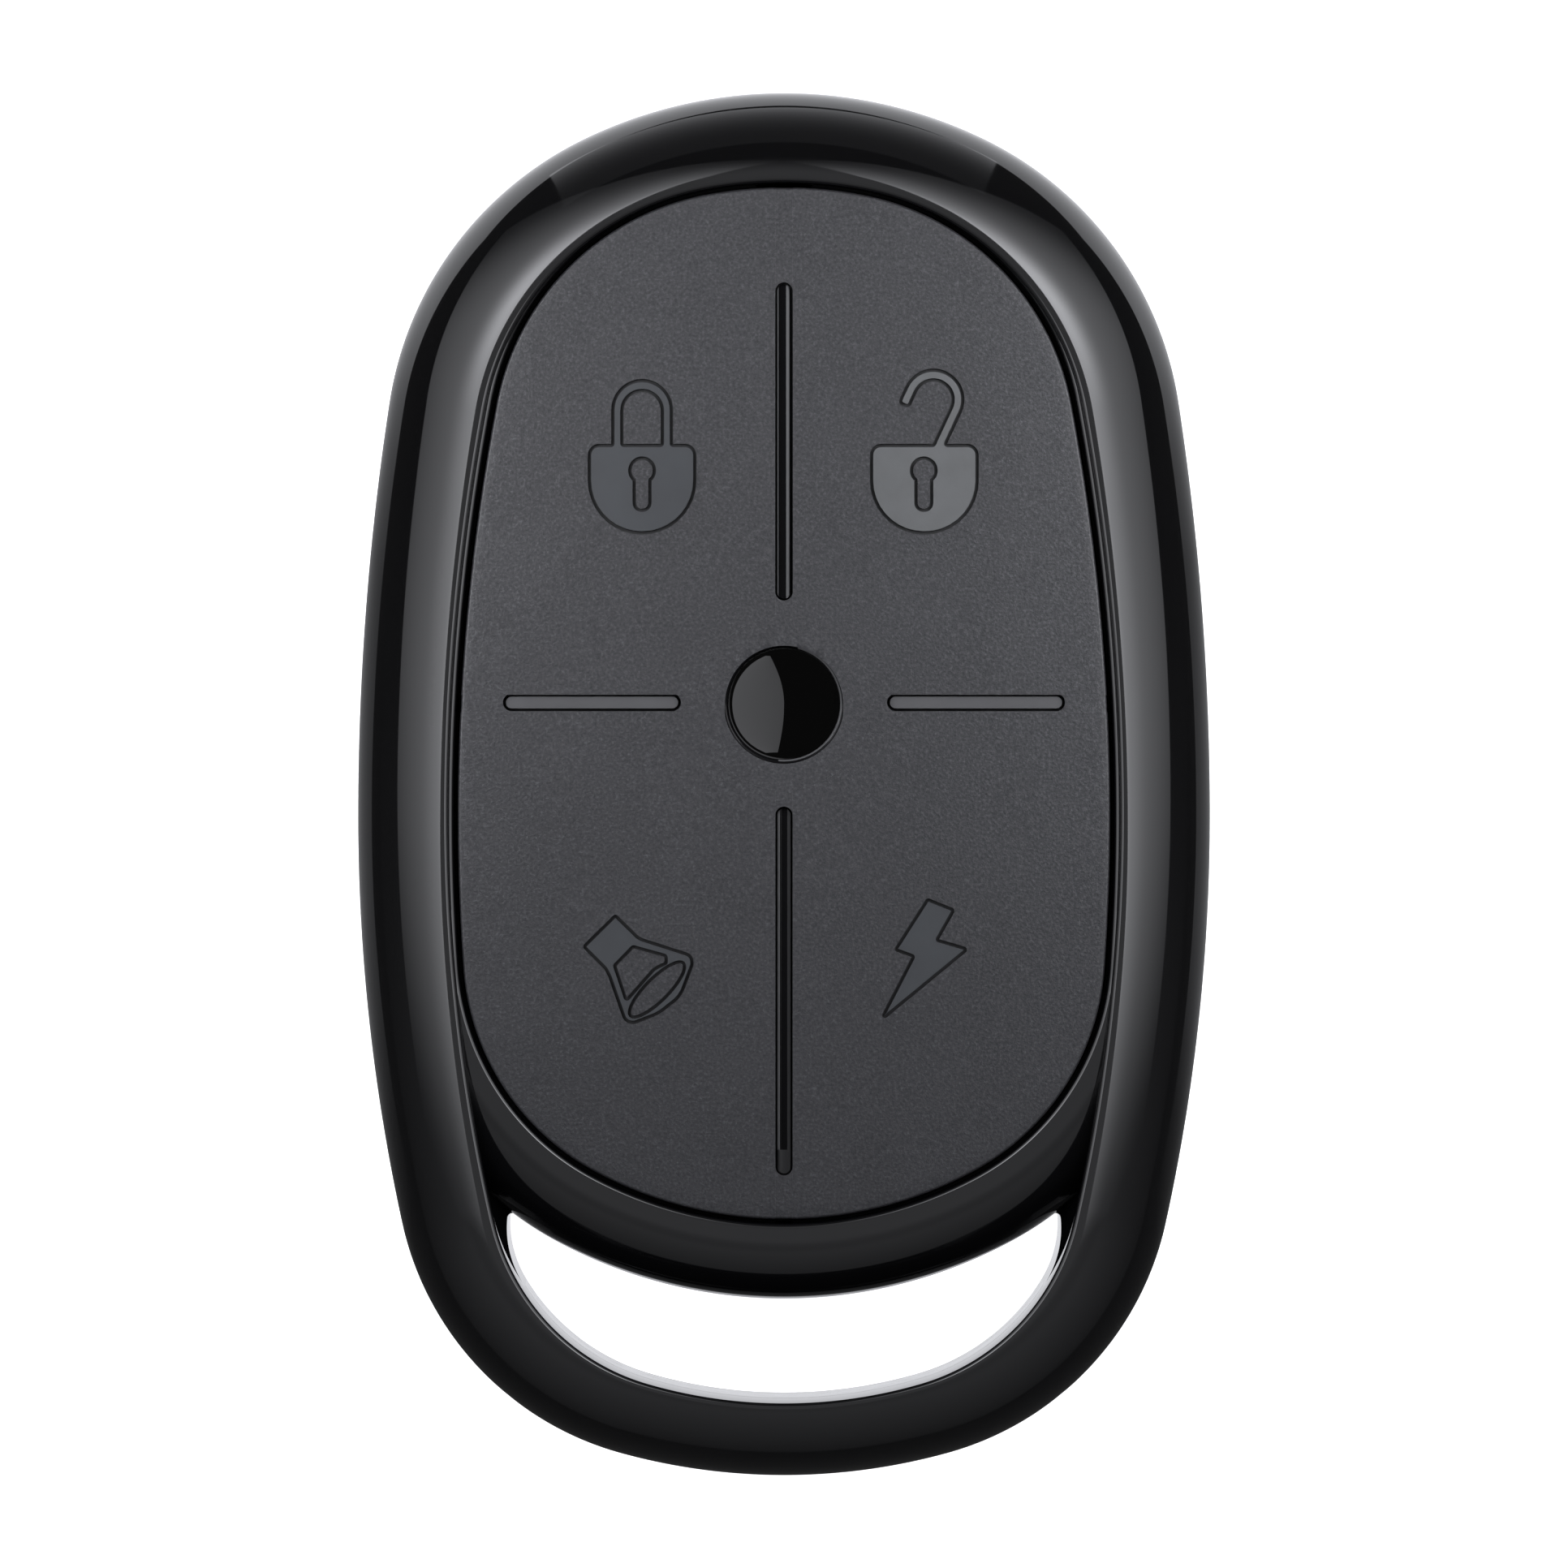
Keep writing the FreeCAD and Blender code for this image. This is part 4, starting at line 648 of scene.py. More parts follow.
def quarterOutline(right, up, nearHalf, bossRadius, wide=60, tall=80, steps=40):  # one key's window
    chord = math.sqrt(bossRadius ** 2 - nearHalf ** 2)
    startAngle, endAngle = math.atan2(nearHalf, chord), math.atan2(chord, nearHalf)
    outline = [(chord, nearHalf), (wide, nearHalf), (wide, tall), (nearHalf, tall)]
    outline += [(bossRadius * math.cos(a), bossRadius * math.sin(a))
                for a in np.linspace(endAngle, startAngle, steps + 1)[:-1]]
    outline = [(x * right, y * up + panel["lensUp"]) for x, y in outline]
    return outline if right * up > 0 else outline[::-1]


# each key's side, up or down, and where its plunger stands
keyPlaces = {"lock": (-1, 1, (-6.6, 12.5)), "unlock": (1, 1, (6.6, 12.5)),
             "horn": (-1, -1, (-6.6, -8.5)), "flash": (1, -1, (6.6, -8.5))}


# Pictograms: their outlines are engraved channels, cut along closed paths by one Geometry Nodes tree

icons = {"channelWidth": 0.16, "channelDepth": 0.2,
         "around": 0.2, "lowest": 11.2, "skin": 0.03,  # margin, height and depth from which faces are painted
         "ellipse": (-5.92, -9.58, 1.74, 0.53, 45.0),  # centre, half lengths and turn of the horn's mouth
         # corners of each outline: x, y and the radius that rounds them
         "lock": [[(-9.07, 11.7, 2.45), (-4.16, 11.7, 2.45), (-4.16, 15.78, 0.45), (-5.25, 15.78, 0.1),
                   (-5.25, 18.81, 1.36), (-7.98, 18.81, 1.36), (-7.98, 15.78, 0.1), (-9.07, 15.78, 0.45)],
                  [(-7.56, 15.78, 0.12), (-5.67, 15.78, 0.12), (-5.67, 18.35, 0.94), (-7.56, 18.35, 0.94)],
                  [(-7.185, 15.19, 0.56), (-7.185, 14.354, 0.5), (-6.981, 14.183, 0.05),
                   (-6.981, 12.76, 0.35), (-6.249, 12.76, 0.35), (-6.249, 14.183, 0.05),
                   (-6.045, 14.354, 0.5), (-6.045, 15.19, 0.56)]],
         "unlock": [[(4.08, 11.7, 2.45), (9.0, 11.7, 2.45), (9.0, 15.78, 0.45), (7.48, 15.78, 0.1),
                     (8.79, 18.59, 1.37), (6.3, 19.75, 1.37), (5.39, 17.79, 0.15), (5.8, 17.6, 0.15),
                     (6.52, 19.15, 0.92), (8.19, 18.37, 0.92), (6.98, 15.78, 0.1), (4.08, 15.78, 0.45)],
                    [(5.945, 15.19, 0.56), (5.945, 14.354, 0.5), (6.149, 14.183, 0.05),
                     (6.149, 12.76, 0.35), (6.881, 12.76, 0.35), (6.881, 14.183, 0.05),
                     (7.085, 14.354, 0.5), (7.085, 15.19, 0.56)]],
         "horn": [[(-9.32, -7.58, 0.1), (-7.86, -6.14, 0.1), (-6.75, -7.22, 0.9), (-4.33, -8.0, 0.35),
                   (-4.28, -8.4, 0.3), (-4.84, -9.88, 1.5), (-5.87, -10.69, 2.0), (-7.32, -11.25, 0.45),
                   (-8.12, -8.95, 0.6), (-8.3, -8.6, 0.6)],
                  [(-7.04, -7.58, 0.1), (-5.48, -8.01, 0.15), (-5.5, -8.35, 0.08), (-6.05, -8.62, 0.9),
                   (-7.35, -10.1, 0.08), (-7.9, -8.46, 0.1)]],
         "flash": [[(6.69, -5.39, 0.1), (7.9, -5.88, 0.08), (7.11, -7.28, 0.08), (8.53, -7.7, 0.08),
                    (4.52, -11.0, 0.06), (6.05, -8.03, 0.08), (5.2, -7.72, 0.08)]]}


def ellipseLoop(x, y, length, width, turn, count=36):
    turn = math.radians(turn)
    loop = []
    for i in range(count):
        angle = 2 * math.pi * i / count
        along, across = length * math.cos(angle), width * math.sin(angle)
        loop.append((x + along * math.cos(turn) - across * math.sin(turn),
                     y + along * math.sin(turn) + across * math.cos(turn)))
    return loop


def outlineChannelTree():
    sizes = ("Channel Width", "Channel Depth", "Crown Height", "Crown Radius")
    tree, entry = openTree("outlineChannel", sizes)
    path = node(tree, "GeometryNodeMeshToCurve", Mesh=entry["Geometry"])
    upright = node(tree, "GeometryNodeSetCurveNormal", {"mode": "Z_UP"}, Curve=path)
    doubled = formula(tree, ("MULTIPLY", entry["Channel Depth"], 2.0))
    section = node(tree, "GeometryNodeCurvePrimitiveQuadrilateral",
                   Width=entry["Channel Width"], Height=doubled)
    swept = node(tree, "GeometryNodeCurveToMesh", Curve=upright, Profile_Curve=section)
    place = node(tree, "ShaderNodeSeparateXYZ", {}, {0: node(tree, "GeometryNodeInputPosition")})
    lift = formula(tree, ("SUBTRACT", entry["Crown Height"], crownSag(place, entry["Crown Radius"])))
    offset = node(tree, "ShaderNodeCombineXYZ", {}, {2: lift})
    laid = node(tree, "GeometryNodeSetPosition", Geometry=swept, Offset=offset)
    return closeTree(tree, entry, laid)


channelTree = outlineChannelTree()


def iconLoops(key):
    loops = [roundedLoop(corners) for corners in icons[key]]
    return loops + [ellipseLoop(*icons["ellipse"])] if key == "horn" else loops


def engraveIcon(piece, key, loops):
    points, edges = [], []
    for loop in loops:
        first = len(points)
        points += [(x * mm, y * mm, 0) for x, y in loop]
        edges += [(first + i, first + (i + 1) % len(loop)) for i in range(len(loop))]
    cutter = meshObject(key + "Icon", [], [])
    cutter.data.from_pydata(points, edges, [])
    runTree(cutter, channelTree, channelWidth=icons["channelWidth"] * mm,
            channelDepth=icons["channelDepth"] * mm, crownHeight=panel["crown"] * mm,
            crownRadius=panel["crownRadius"] * mm, material=paintedShadeAbs)
    turnOutward(cutter)
    combine(piece, cutter)


def paintKey(piece, key, loops):
    # the unlock icon's fill is painted paler than the others': a painted reflection of the light on the right
    filling = litFillAbs if key == "unlock" else satinAbs
    left, low = (min(axis) - icons["around"] for axis in zip(*loops[0]))
    right, high = (max(axis) + icons["around"] for axis in zip(*loops[0]))

    def choose(x, y, z, up):
        if z < panel["underside"]:
            return paintedBlackAbs  # the flange under the bezel is painted near black: painted shade in the gap round the panel
        if z < icons["lowest"] or not (left < x < right and low < y < high):
            return sparkedAbs
        # faces sunk below the skin are painted dark grey: painted shade in the icon's channels
        if z < domeHeight(x, y) - icons["skin"]:
            return paintedShadeAbs
        return filling if insideLoops(loops, x, y) else sparkedAbs

    paintFaces(piece, [sparkedAbs, paintedShadeAbs, filling, paintedBlackAbs], choose)


def makeKey(key):
    right, up, plungerPlace = keyPlaces[key]
    piece = domedBlank(key + "Key", panel["flangeLow"])
    flange = outlineSamples(fieldOutline, panel["flangeWidth"])[0]
    flangeLow = panel["flangeLow"] - panel["flangeOverlap"]
    combine(piece, prism("flange", flange, flangeLow, panel["flangeHigh"]), "UNION")
    window = quarterOutline(right, up, panel["splitHalf"], panel["bossRadius"])
    combine(piece, prism("window", window, panel["cutLow"], panel["cutHigh"]), "INTERSECT")
    if up > 0:
        boss = circleOutline(0, panel["screwUp"], panel["screwClear"])
        combine(piece, prism("notch", boss, panel["cutLow"], panel["flangeHigh"]))
    plunger = circleOutline(*plungerPlace, panel["plungerRadius"], 48)
    combine(piece, prism("plunger", plunger, panel["plungerLow"], panel["underside"]), "UNION")
    loops = iconLoops(key)
    engraveIcon(piece, key, loops)
    paintKey(piece, key, loops)
    return finishPiece(piece, key + "_key_body", [key + "_key"])


keyPieces = [makeKey(key) for key in keyPlaces]


# Key frame: the cross between the keys with a groove in each arm, the lens's bore, and the plate below

cross = {"low": 8.7, "fieldGap": 0.02, "reachUp": 40.0, "reachAside": 30.0}
groove = {"depth": 0.2, "moatLow": 10.9, "rootBelow": 0.3, "patchLength": 1.3, "overrun": 0.2,
          "gridHalf": 0.45, "gridAcross": 19, "gridAlong": 41,
          # half width, floor's half width, both ends, and the radius and shift of the floor's crown across it
          "runs": {"up": (0.41, 0.32, (0, 8.55), (0, 23.4), 1.18, -0.08),
                   "down": (0.4, 0.31, (0, -18.25), (0, -1.05), 1.18, 0.1),
                   "right": (0.41, 0.275, (4.8, 3.8), (13.1, 3.8), flatRadius, 0.0),
                   "left": (0.41, 0.275, (-13.1, 3.8), (-4.8, 3.8), flatRadius, 0.0)},
          # painted reflection stripes of the floor, dark and pale, between two values of x: the first strip
          # that holds a face paints it
          "strips": {"up": ((-99, -0.26, greyStripeAbs), (0.09, 0.26, greyStripeAbs), (-99, 99, paintedBlackAbs)),
                     "down": ((0.14, 99, paintedShadeAbs), (-99, -0.2, paleReflectionAbs), (-99, 99, paintedBlackAbs)),
                     "right": ((-99, 99, paleReflectionAbs),), "left": ((-99, 99, paleReflectionAbs),)},
          "armsFrom": 4.5, "paintLow": 10.8, "steep": 0.8, "moatBelow": 0.3}
bore = {"radius": 2.61, "round": 0.2, "low": 7.0, "high": 14.0, "topBelow": 0.005,
        "paintRadius": 2.82, "paintLow": 9.0, "level": 0.998,
        "line": (2.615, 2.69), "lineStart": 0.225, "lineLean": 0.175}  # radii of the pale line of painted reflection, and its end
plate = {"low": 7.9, "high": 8.71, "sideGap": 0.3, "rimLow": 7.95, "rimHigh": 9.98, "rimMargin": 1.4,
         "holeHigh": 9.0, "notchHigh": 10.0, "plungerHole": 1.7}


def makeGroove(piece, half, floorHalf, start, end, crown, shift):
    combine(piece, prism("slot", stadiumOutline(start, end, half), groove["moatLow"], panel["cutHigh"]))
    along = (Vector(end) - Vector(start)).normalized()
    upright = along.y > 0.5
    inset = half - floorHalf
    first, last = Vector(start) + along * inset, Vector(end) - along * inset
    across = np.linspace(-groove["gridHalf"], groove["gridHalf"], groove["gridAcross"])
    length = (last - first).length + groove["overrun"]
    lengthwise = np.linspace(-groove["overrun"], length, groove["gridAlong"])
    xs, ys = (across, first.y + lengthwise) if upright else (first.x + lengthwise, first.y + across)

    def floorHeight(x, y):
        aside = (x if upright else y - panel["lensUp"]) - shift
        return domeHeight(x, y, groove["depth"]) - (crown - math.sqrt(crown * crown - aside * aside))

    island = heightBlock("grooveFloor", xs, ys, floorHeight, groove["moatLow"] - groove["rootBelow"])
    floor = stadiumOutline(first, last, floorHalf)
    combine(island, prism("floorShape", floor, panel["cutLow"], panel["cutHigh"]), "INTERSECT")
    combine(piece, island, "UNION")


def cutBore(piece):  # straight, and rounded over into the dome
    radius, turned = bore["radius"], bore["round"]
    top = domeHeight(0, panel["lensUp"]) - bore["topBelow"]
    profile = [(0, bore["low"]), (radius, bore["low"])]
    profile += [(radius + turned * inset, top - turned * drop) for inset, drop in quarterTurn(8)]
    profile += [(radius + turned, bore["high"]), (0, bore["high"])]
    combine(piece, lathe("bore", profile, (0, panel["lensUp"])))


def addPlate(piece):  # the plate under the keys, its rim under the bezel, and the holes through it
    outline = outlineSamples(fieldOutline, shell["bridgeWidth"] - shell["frontWall"] - plate["sideGap"])[0]
    sheet = prism("plate", outline, plate["low"], plate["high"])
    rim = prism("rim", outline, plate["rimLow"], plate["rimHigh"])
    opening = outlineSamples(fieldOutline, plate["rimMargin"])[0]
    combine(rim, prism("rimHole", opening, panel["cutLow"], panel["cutHigh"]))
    combine(sheet, rim, "UNION")
    combine(piece, sheet, "UNION")
    holes = [(0, panel["lensUp"], bore["radius"], 128, plate["holeHigh"]),
             (0, panel["screwUp"], panel["screwClear"], 64, plate["notchHigh"])]
    holes += [(x, y, plate["plungerHole"], 48, plate["holeHigh"]) for right, up, (x, y) in keyPlaces.values()]
    for x, y, radius, count, high in holes:
        combine(piece, prism("plateHole", circleOutline(x, y, radius, count), panel["cutLow"], high))


def paintKeyFrame(piece):
    lineFrom, lineTo = bore["line"]

    def paintedFloorStripe(name, start, x, y):
        # the down groove's low end is painted in the dark grey of the painted shade
        if name == "down" and y < start[1] + groove["patchLength"]:
            return paintedShadeAbs
        return next(finish for low, high, finish in groove["strips"][name] if low < x < high)

    def choose(x, y, z, up):
        fromLens = math.hypot(x, y - panel["lensUp"])
        if fromLens < bore["paintRadius"] and z > bore["paintLow"] and up < bore["level"]:
            # the bore's rim is painted near black, painted shade round the lens, with one pale line of
            # painted reflection where its edge turns over on the right
            right = x > bore["lineStart"] + bore["lineLean"] * (y - panel["lensUp"])
            return paleReflectionAbs if lineFrom < fromLens < lineTo and right else paintedBlackAbs
        # below the panel's top the frame is painted near black: painted shade
        if z < panel["underside"]:
            return paintedBlackAbs
        if z < groove["paintLow"] or max(abs(x), abs(y - panel["lensUp"])) < groove["armsFrom"]:
            return sparkedAbs
        sunk = domeHeight(x, y) - z
        for name, (half, floorHalf, start, end, crown, shift) in groove["runs"].items():
            across, along = start[0] - half < x < end[0] + half, start[1] - half < y < end[1] + half
            if across and along and sunk > icons["skin"]:
                # the grooves' walls are painted dark grey: painted shade
                wall = up < groove["steep"] or sunk > groove["moatBelow"]
                return paintedShadeAbs if wall else paintedFloorStripe(name, start, x, y)
        return sparkedAbs

    paintFaces(piece, [sparkedAbs, paintedShadeAbs, paleReflectionAbs, paintedBlackAbs, greyStripeAbs], choose)


def makeKeyFrame():
    lensUp, through = panel["lensUp"], (panel["cutLow"], panel["cutHigh"])
    half = panel["splitHalf"] - panel["hairGap"]
    piece = domedBlank("keyFrame", cross["low"], margin=-cross["fieldGap"])
    boss = circleOutline(0, lensUp, panel["bossRadius"] - panel["hairGap"], 160)
    shape = prism("cross", boss, *through)
    combine(shape, prism("upright", rectangleOutline(half, cross["reachUp"]), *through), "UNION")
    level = [(x, lensUp + y) for x, y in rectangleOutline(cross["reachAside"], half)]
    combine(shape, prism("level", level, *through), "UNION")
    combine(piece, shape, "INTERSECT")
    for run in groove["runs"].values():
        makeGroove(piece, *run)
    cutBore(piece)
    addPlate(piece)
    paintKeyFrame(piece)
    return finishPiece(piece, "case", ["key_frame"])


keyFrame = makeKeyFrame()


# Lens

lens = {"top": 12.4, "sag": 0.45, "radius": 2.55, "low": 7.4, "flangeRadius": 3.1, "flangeHigh": 7.9,
        "steps": 24}


def makeLens():
    radius, sag, steps = lens["radius"], lens["sag"], lens["steps"]
    wide, low, high = lens["flangeRadius"], lens["low"], lens["flangeHigh"]
    domeRadius = (radius ** 2 + sag ** 2) / (2 * sag)
    profile = [(0, low), (wide, low), (wide, high), (radius, high)]
    for step in range(steps + 1):
        angle = math.asin(radius / domeRadius) * (1 - step / steps)
        across = domeRadius * math.sin(angle) if step < steps else 0.0
        profile.append((across, lens["top"] - domeRadius * (1 - math.cos(angle))))
    piece = lathe("statusLens", profile, (0, panel["lensUp"]))
    piece.data.materials.append(smokedLens)
    return finishPiece(piece, "case", ["status_lens"])


statusLens = makeLens()


# Case screws: one turned and recessed blank, put at its three places and threaded by a Geometry Nodes tree

screw = {"places": [(0.0, 29.4), (-15.7, -17.6), (15.7, -17.6)],
         "headLow": 0.2, "headHigh": 1.1, "headRadius": 1.3, "headRound": 0.5, "headChamfer": 0.05,
         "core": 0.6, "reach": 7.5, "tipLength": 0.6, "tipRadius": 0.15,
         "recessLength": 1.56, "recessWidth": 0.32, "recessDepth": 0.45, "recessBelow": 0.2,
         "threadRadius": 0.65, "threadTurns": 10.0, "threadRise": 5.2, "threadSection": 0.13,
         "threadStart": 0.3, "seatGap": 0.17, "boreRadius": 0.95, "boreHigh": 7.0}


def screwBlank():
    low, high, head, turned = (screw[key] for key in ("headLow", "headHigh", "headRadius", "headRound"))
    chamfer, core, reach = (screw[key] for key in ("headChamfer", "core", "reach"))
    profile = [(0, low)] + [(head - turned * over, low + turned * rise) for rise, over in quarterTurn(6)]
    profile += [(head, high - chamfer), (head - chamfer, high), (core, high),
                (core, reach - screw["tipLength"]), (screw["tipRadius"], reach), (0, reach)]
    blank = lathe("screwBlank", profile, (0, 0), 48)
    length, width = screw["recessLength"] / 2, screw["recessWidth"] / 2
    bottom, top = low - screw["recessBelow"], low + screw["recessDepth"]
    for x, y in ((length, width), (width, length)):
        combine(blank, prism("recess", rectangleOutline(x, y), bottom, top))
    return blank


def screwSetTree():
    sizes = ("Thread Radius", "Thread Turns", "Thread Rise", "Thread Section", "Thread Low")
    tree, entry = openTree("screwSet", sizes, ("Blank",))
    radius = entry["Thread Radius"]
    helix = node(tree, "GeometryNodeCurveSpiral", Resolution=20, Rotations=entry["Thread Turns"],
                 Start_Radius=radius, End_Radius=radius, Height=entry["Thread Rise"])
    section = node(tree, "GeometryNodeCurvePrimitiveCircle", Radius=entry["Thread Section"], Resolution=4)
    thread = node(tree, "GeometryNodeCurveToMesh", Curve=helix, Profile_Curve=section, Fill_Caps=True)
    lift = node(tree, "ShaderNodeCombineXYZ", {}, {2: entry["Thread Low"]})
    raised = node(tree, "GeometryNodeTransform", Geometry=thread, Translation=lift)
    blank = node(tree, "GeometryNodeObjectInfo", Object=entry["Blank"])
    whole = node(tree, "GeometryNodeJoinGeometry", {}, {0: raised})
    feed(tree, whole, {0: blank.outputs["Geometry"]})
    places = node(tree, "GeometryNodeInstanceOnPoints", Points=entry["Geometry"], Instance=whole)
    return closeTree(tree, entry, places)


def makeCaseScrews():
    blank = screwBlank()
    screws = meshObject("caseScrews", [(x * mm, y * mm, 0) for x, y in screw["places"]], [])
    threadLow = screw["headHigh"] + screw["threadStart"]
    runTree(screws, screwSetTree(), blank=blank, threadRadius=screw["threadRadius"] * mm,
            threadTurns=screw["threadTurns"], threadRise=screw["threadRise"] * mm,
            threadSection=screw["threadSection"] * mm, threadLow=threadLow * mm, material=platedSteel)
    bpy.data.objects.remove(blank)
    nodes = ["case_screw_" + place for place in ("top", "left", "right")]
    return finishPiece(screws, "case", nodes)


makeCaseScrews()
for x, y in screw["places"]:
    seat = circleOutline(x, y, screw["headRadius"] + screw["seatGap"], 64)
    combine(rearShell, prism("seat", seat, -beyond, screw["headHigh"]))
    hole = circleOutline(x, y, screw["boreRadius"], 48)
    combine(rearShell, prism("screwBore", hole, -beyond, screw["boreHigh"]))
finishPiece(frontShell, "case", ["front_shell"])
finishPiece(rearShell, "case", ["rear_shell"])


# Finishes of the parts inside the case, which keep their CAD shapes

solderMask = mouldedMaterial("greenSolderMask", "#1f5a34", "#17472a", 0.32, 1500.0)
canSteel = metalMaterial("nickelPlatedSteel", "#cfcfca", "#b4b4ae", 0.22, 1800.0)
coverSteel = metalMaterial("stampedStainless", "#b9bbbd", "#9b9da0", 0.32, 2600.0)
springBronze = metalMaterial("springBronze", "#b58d4f", "#9a743c", 0.3, 2200.0)
goldPlate = metalMaterial("goldPlatedCopper", "#d8b25a", "#c49a3f", 0.25, 2200.0)
trackCopper = metalMaterial("tinnedCopperTrack", "#c98f5c", "#b07a49", 0.35, 2600.0)
sealPolymer = mouldedMaterial("greyPolypropyleneSeal", "#6f7275", "#5d6063", 0.5, 1800.0)
cellPaste = mouldedMaterial("pressedCellPaste", "#34343a", "#27272c", 0.8, 3500.0)
chipEpoxy = mouldedMaterial("blackEpoxyMoulding", "#1b1b1d", "#131315", 0.55, 4500.0)
switchNylon = mouldedMaterial("blackNylonMoulding", "#202124", "#17181a", 0.45, 3800.0)
stemNylon = mouldedMaterial("brownNylonMoulding", "#6b4126", "#5a351d", 0.42, 3800.0)
lampResin = mouldedMaterial("paleEpoxyLamp", "#e9e6dc", "#dedacb", 0.3, 2600.0)
chipCeramic = mouldedMaterial("tanCeramicChip", "#b99b73", "#a68861", 0.5, 5000.0)

finishes = {"circuit_board": solderMask, "cell_can": canSteel, "cell_cap": canSteel, "cell_seal": sealPolymer,
            "cell_filling": cellPaste, "battery_clip": springBronze, "negative_contact": goldPlate,
            "loop_antenna": trackCopper, "encoder_chip": chipEpoxy, "resonator": canSteel,
            "radio_transistor": chipEpoxy, "status_light": lampResin}
for number in range(1, 5):
    finishes["chip_part_%d" % number] = chipCeramic
for key in keyPlaces:
    for part, finish in (("base", switchNylon), ("cover", coverSteel), ("stem", stemNylon)):
        finishes[key + "_switch_" + part] = finish
for name, finish in finishes.items():
    for place in bpy.data.objects[name].material_slots:
        place.material = finish
print("finished", len(finishes), "inner parts")


# Camera and floor

view = {"height": 0.6, "focalPixels": 15550, "pixelsWide": 1932, "sensorWidth": 36}
table = {"half": 3.0, "below": 0.0001}


def addCamera():
    data = bpy.data.cameras.new("camera")
    data.sensor_width = view["sensorWidth"]
    data.lens = view["focalPixels"] / view["pixelsWide"] * view["sensorWidth"]
    data.clip_start = 0.01
    camera = bpy.data.objects.new("camera", data)
    camera.location = (0, 0, view["height"])
    bpy.context.scene.collection.objects.link(camera)
    bpy.context.scene.camera = camera


def addFloor():
    corners = [(x, y, -table["below"]) for x, y in rectangleOutline(table["half"], table["half"])]
    floor = meshObject("floor", corners, [(0, 1, 2, 3)])
    floor.data.materials.append(newMaterial("whiteTable", (0.8, 0.8, 0.8, 1), Roughness=1.0,
                                            Emission_Color=(1, 1, 1, 1), Emission_Strength=1.0)[0])
    floor.visible_glossy = False


# Lights: lit patches of sky round the part, seen in its gloss, each with a glow that varies over it

def glowMaterial():  # thin lit fabric: it glows by the mesh's glow attribute and lets light through
    material = bpy.data.materials.new("softboxFabric")
    material.use_nodes = True
    tree = material.node_tree
    tree.nodes.clear()
    glow = node(tree, "ShaderNodeAttribute", {"attribute_name": "glow"})
    emission = node(tree, "ShaderNodeEmission", Strength=glow.outputs["Fac"], Color=(0.945, 0.955, 1.0, 1))
    both = node(tree, "ShaderNodeAddShader", {}, {0: emission, 1: node(tree, "ShaderNodeBsdfTransparent")})
    node(tree, "ShaderNodeOutputMaterial", Surface=both)
    return material


softboxFabric = glowMaterial()


def softStep(low, high, value):
    share = min(1.0, max(0.0, (value - low) / (high - low)))
    return share * share * (3 - 2 * share)


def addPatch(name, place, glow, across, down, hidden=()):  # place(u, v) and glow(u, v) over a grid
    grid = [(i / across, j / down) for j in range(down + 1) for i in range(across + 1)]
    firsts = [j * (across + 1) + i for j in range(down) for i in range(across)]
    faces = [(first, first + 1, first + across + 2, first + across + 1) for first in firsts]
    patch = meshObject(name, [place(u, v) for u, v in grid], faces)
    addAttribute(patch, "glow", [glow(u, v) for u, v in grid])
    patch.data.materials.append(softboxFabric)
    for ray in ("camera", "shadow") + hidden:
        setattr(patch, "visible_" + ray, False)
    return patch


def addGlow(name, direction, glow, steps=(24, 24), distance=0.75):  # a patch seen in the given directions
    return addPatch(name, lambda u, v: Vector(direction(u, v)) * distance, glow, *steps)


def polarPatch(azimuth, zenith):  # directions, from where each angle starts and how far it sweeps, in degrees
    def direction(u, v):
        turn, lean = math.radians(azimuth[0] + azimuth[1] * u), math.radians(zenith[0] + zenith[1] * v)
        return (math.sin(lean) * math.cos(turn), math.sin(lean) * math.sin(turn), math.cos(lean))

    return direction


softbox = {"topOuter": (0.68, 0.73, 0.0), "topInner": (0.0, 0.67, 0.74), "lowInner": (0.434, -0.304, 0.848),
           "lowOuter": (0.92, -0.24, 0.31), "innerGlow": 4.8, "outerGlow": 1.0, "topGlow": 0.12,
           "lampPlace": (0.14, 0.41), "lampSpread": (0.17, 0.1), "lampGlow": 1.6,
           "topFade": (0.0, 0.4), "cornerFade": (-0.05, 0.4), "lowFade": (0.64, 1.02)}


def addSoftbox(name, side, strength):
    corners = {}
    for key in ("topOuter", "topInner", "lowInner", "lowOuter"):
        x, y, z = softbox[key]
        corners[key] = Vector((x * side, y, z))

    def direction(u, v):  # u from the inner to the outer edge, v from the top to the low edge
        inner = corners["topInner"].lerp(corners["lowInner"], v)
        outer = corners["topOuter"].lerp(corners["lowOuter"], v)
        return inner.lerp(outer, u)

    def glow(u, v):
        plain = softbox["innerGlow"] + (softbox["outerGlow"] - softbox["innerGlow"]) * u ** 0.5
        plain *= softbox["topGlow"] + (1 - softbox["topGlow"]) * softStep(*softbox["topFade"], v)
        plain *= softStep(*softbox["cornerFade"], u + 1.2 * v)
        (lampU, lampV), (spreadU, spreadV) = softbox["lampPlace"], softbox["lampSpread"]
        lamp = math.exp(-((u - lampU) / spreadU) ** 2 - ((v - lampV) / spreadV) ** 2)
        plain *= 1 + softbox["lampGlow"] * lamp  # the fabric is brightest in front of the lamp
        return strength * plain * (1 - softStep(*softbox["lowFade"], v))

    return addGlow(name, direction, glow)


window = {"half": 0.57, "radius": 0.61, "bulgeAbove": 0.13, "bulgeBelow": 0.06, "bulgeAt": 0.51,
          "distance": 0.7}


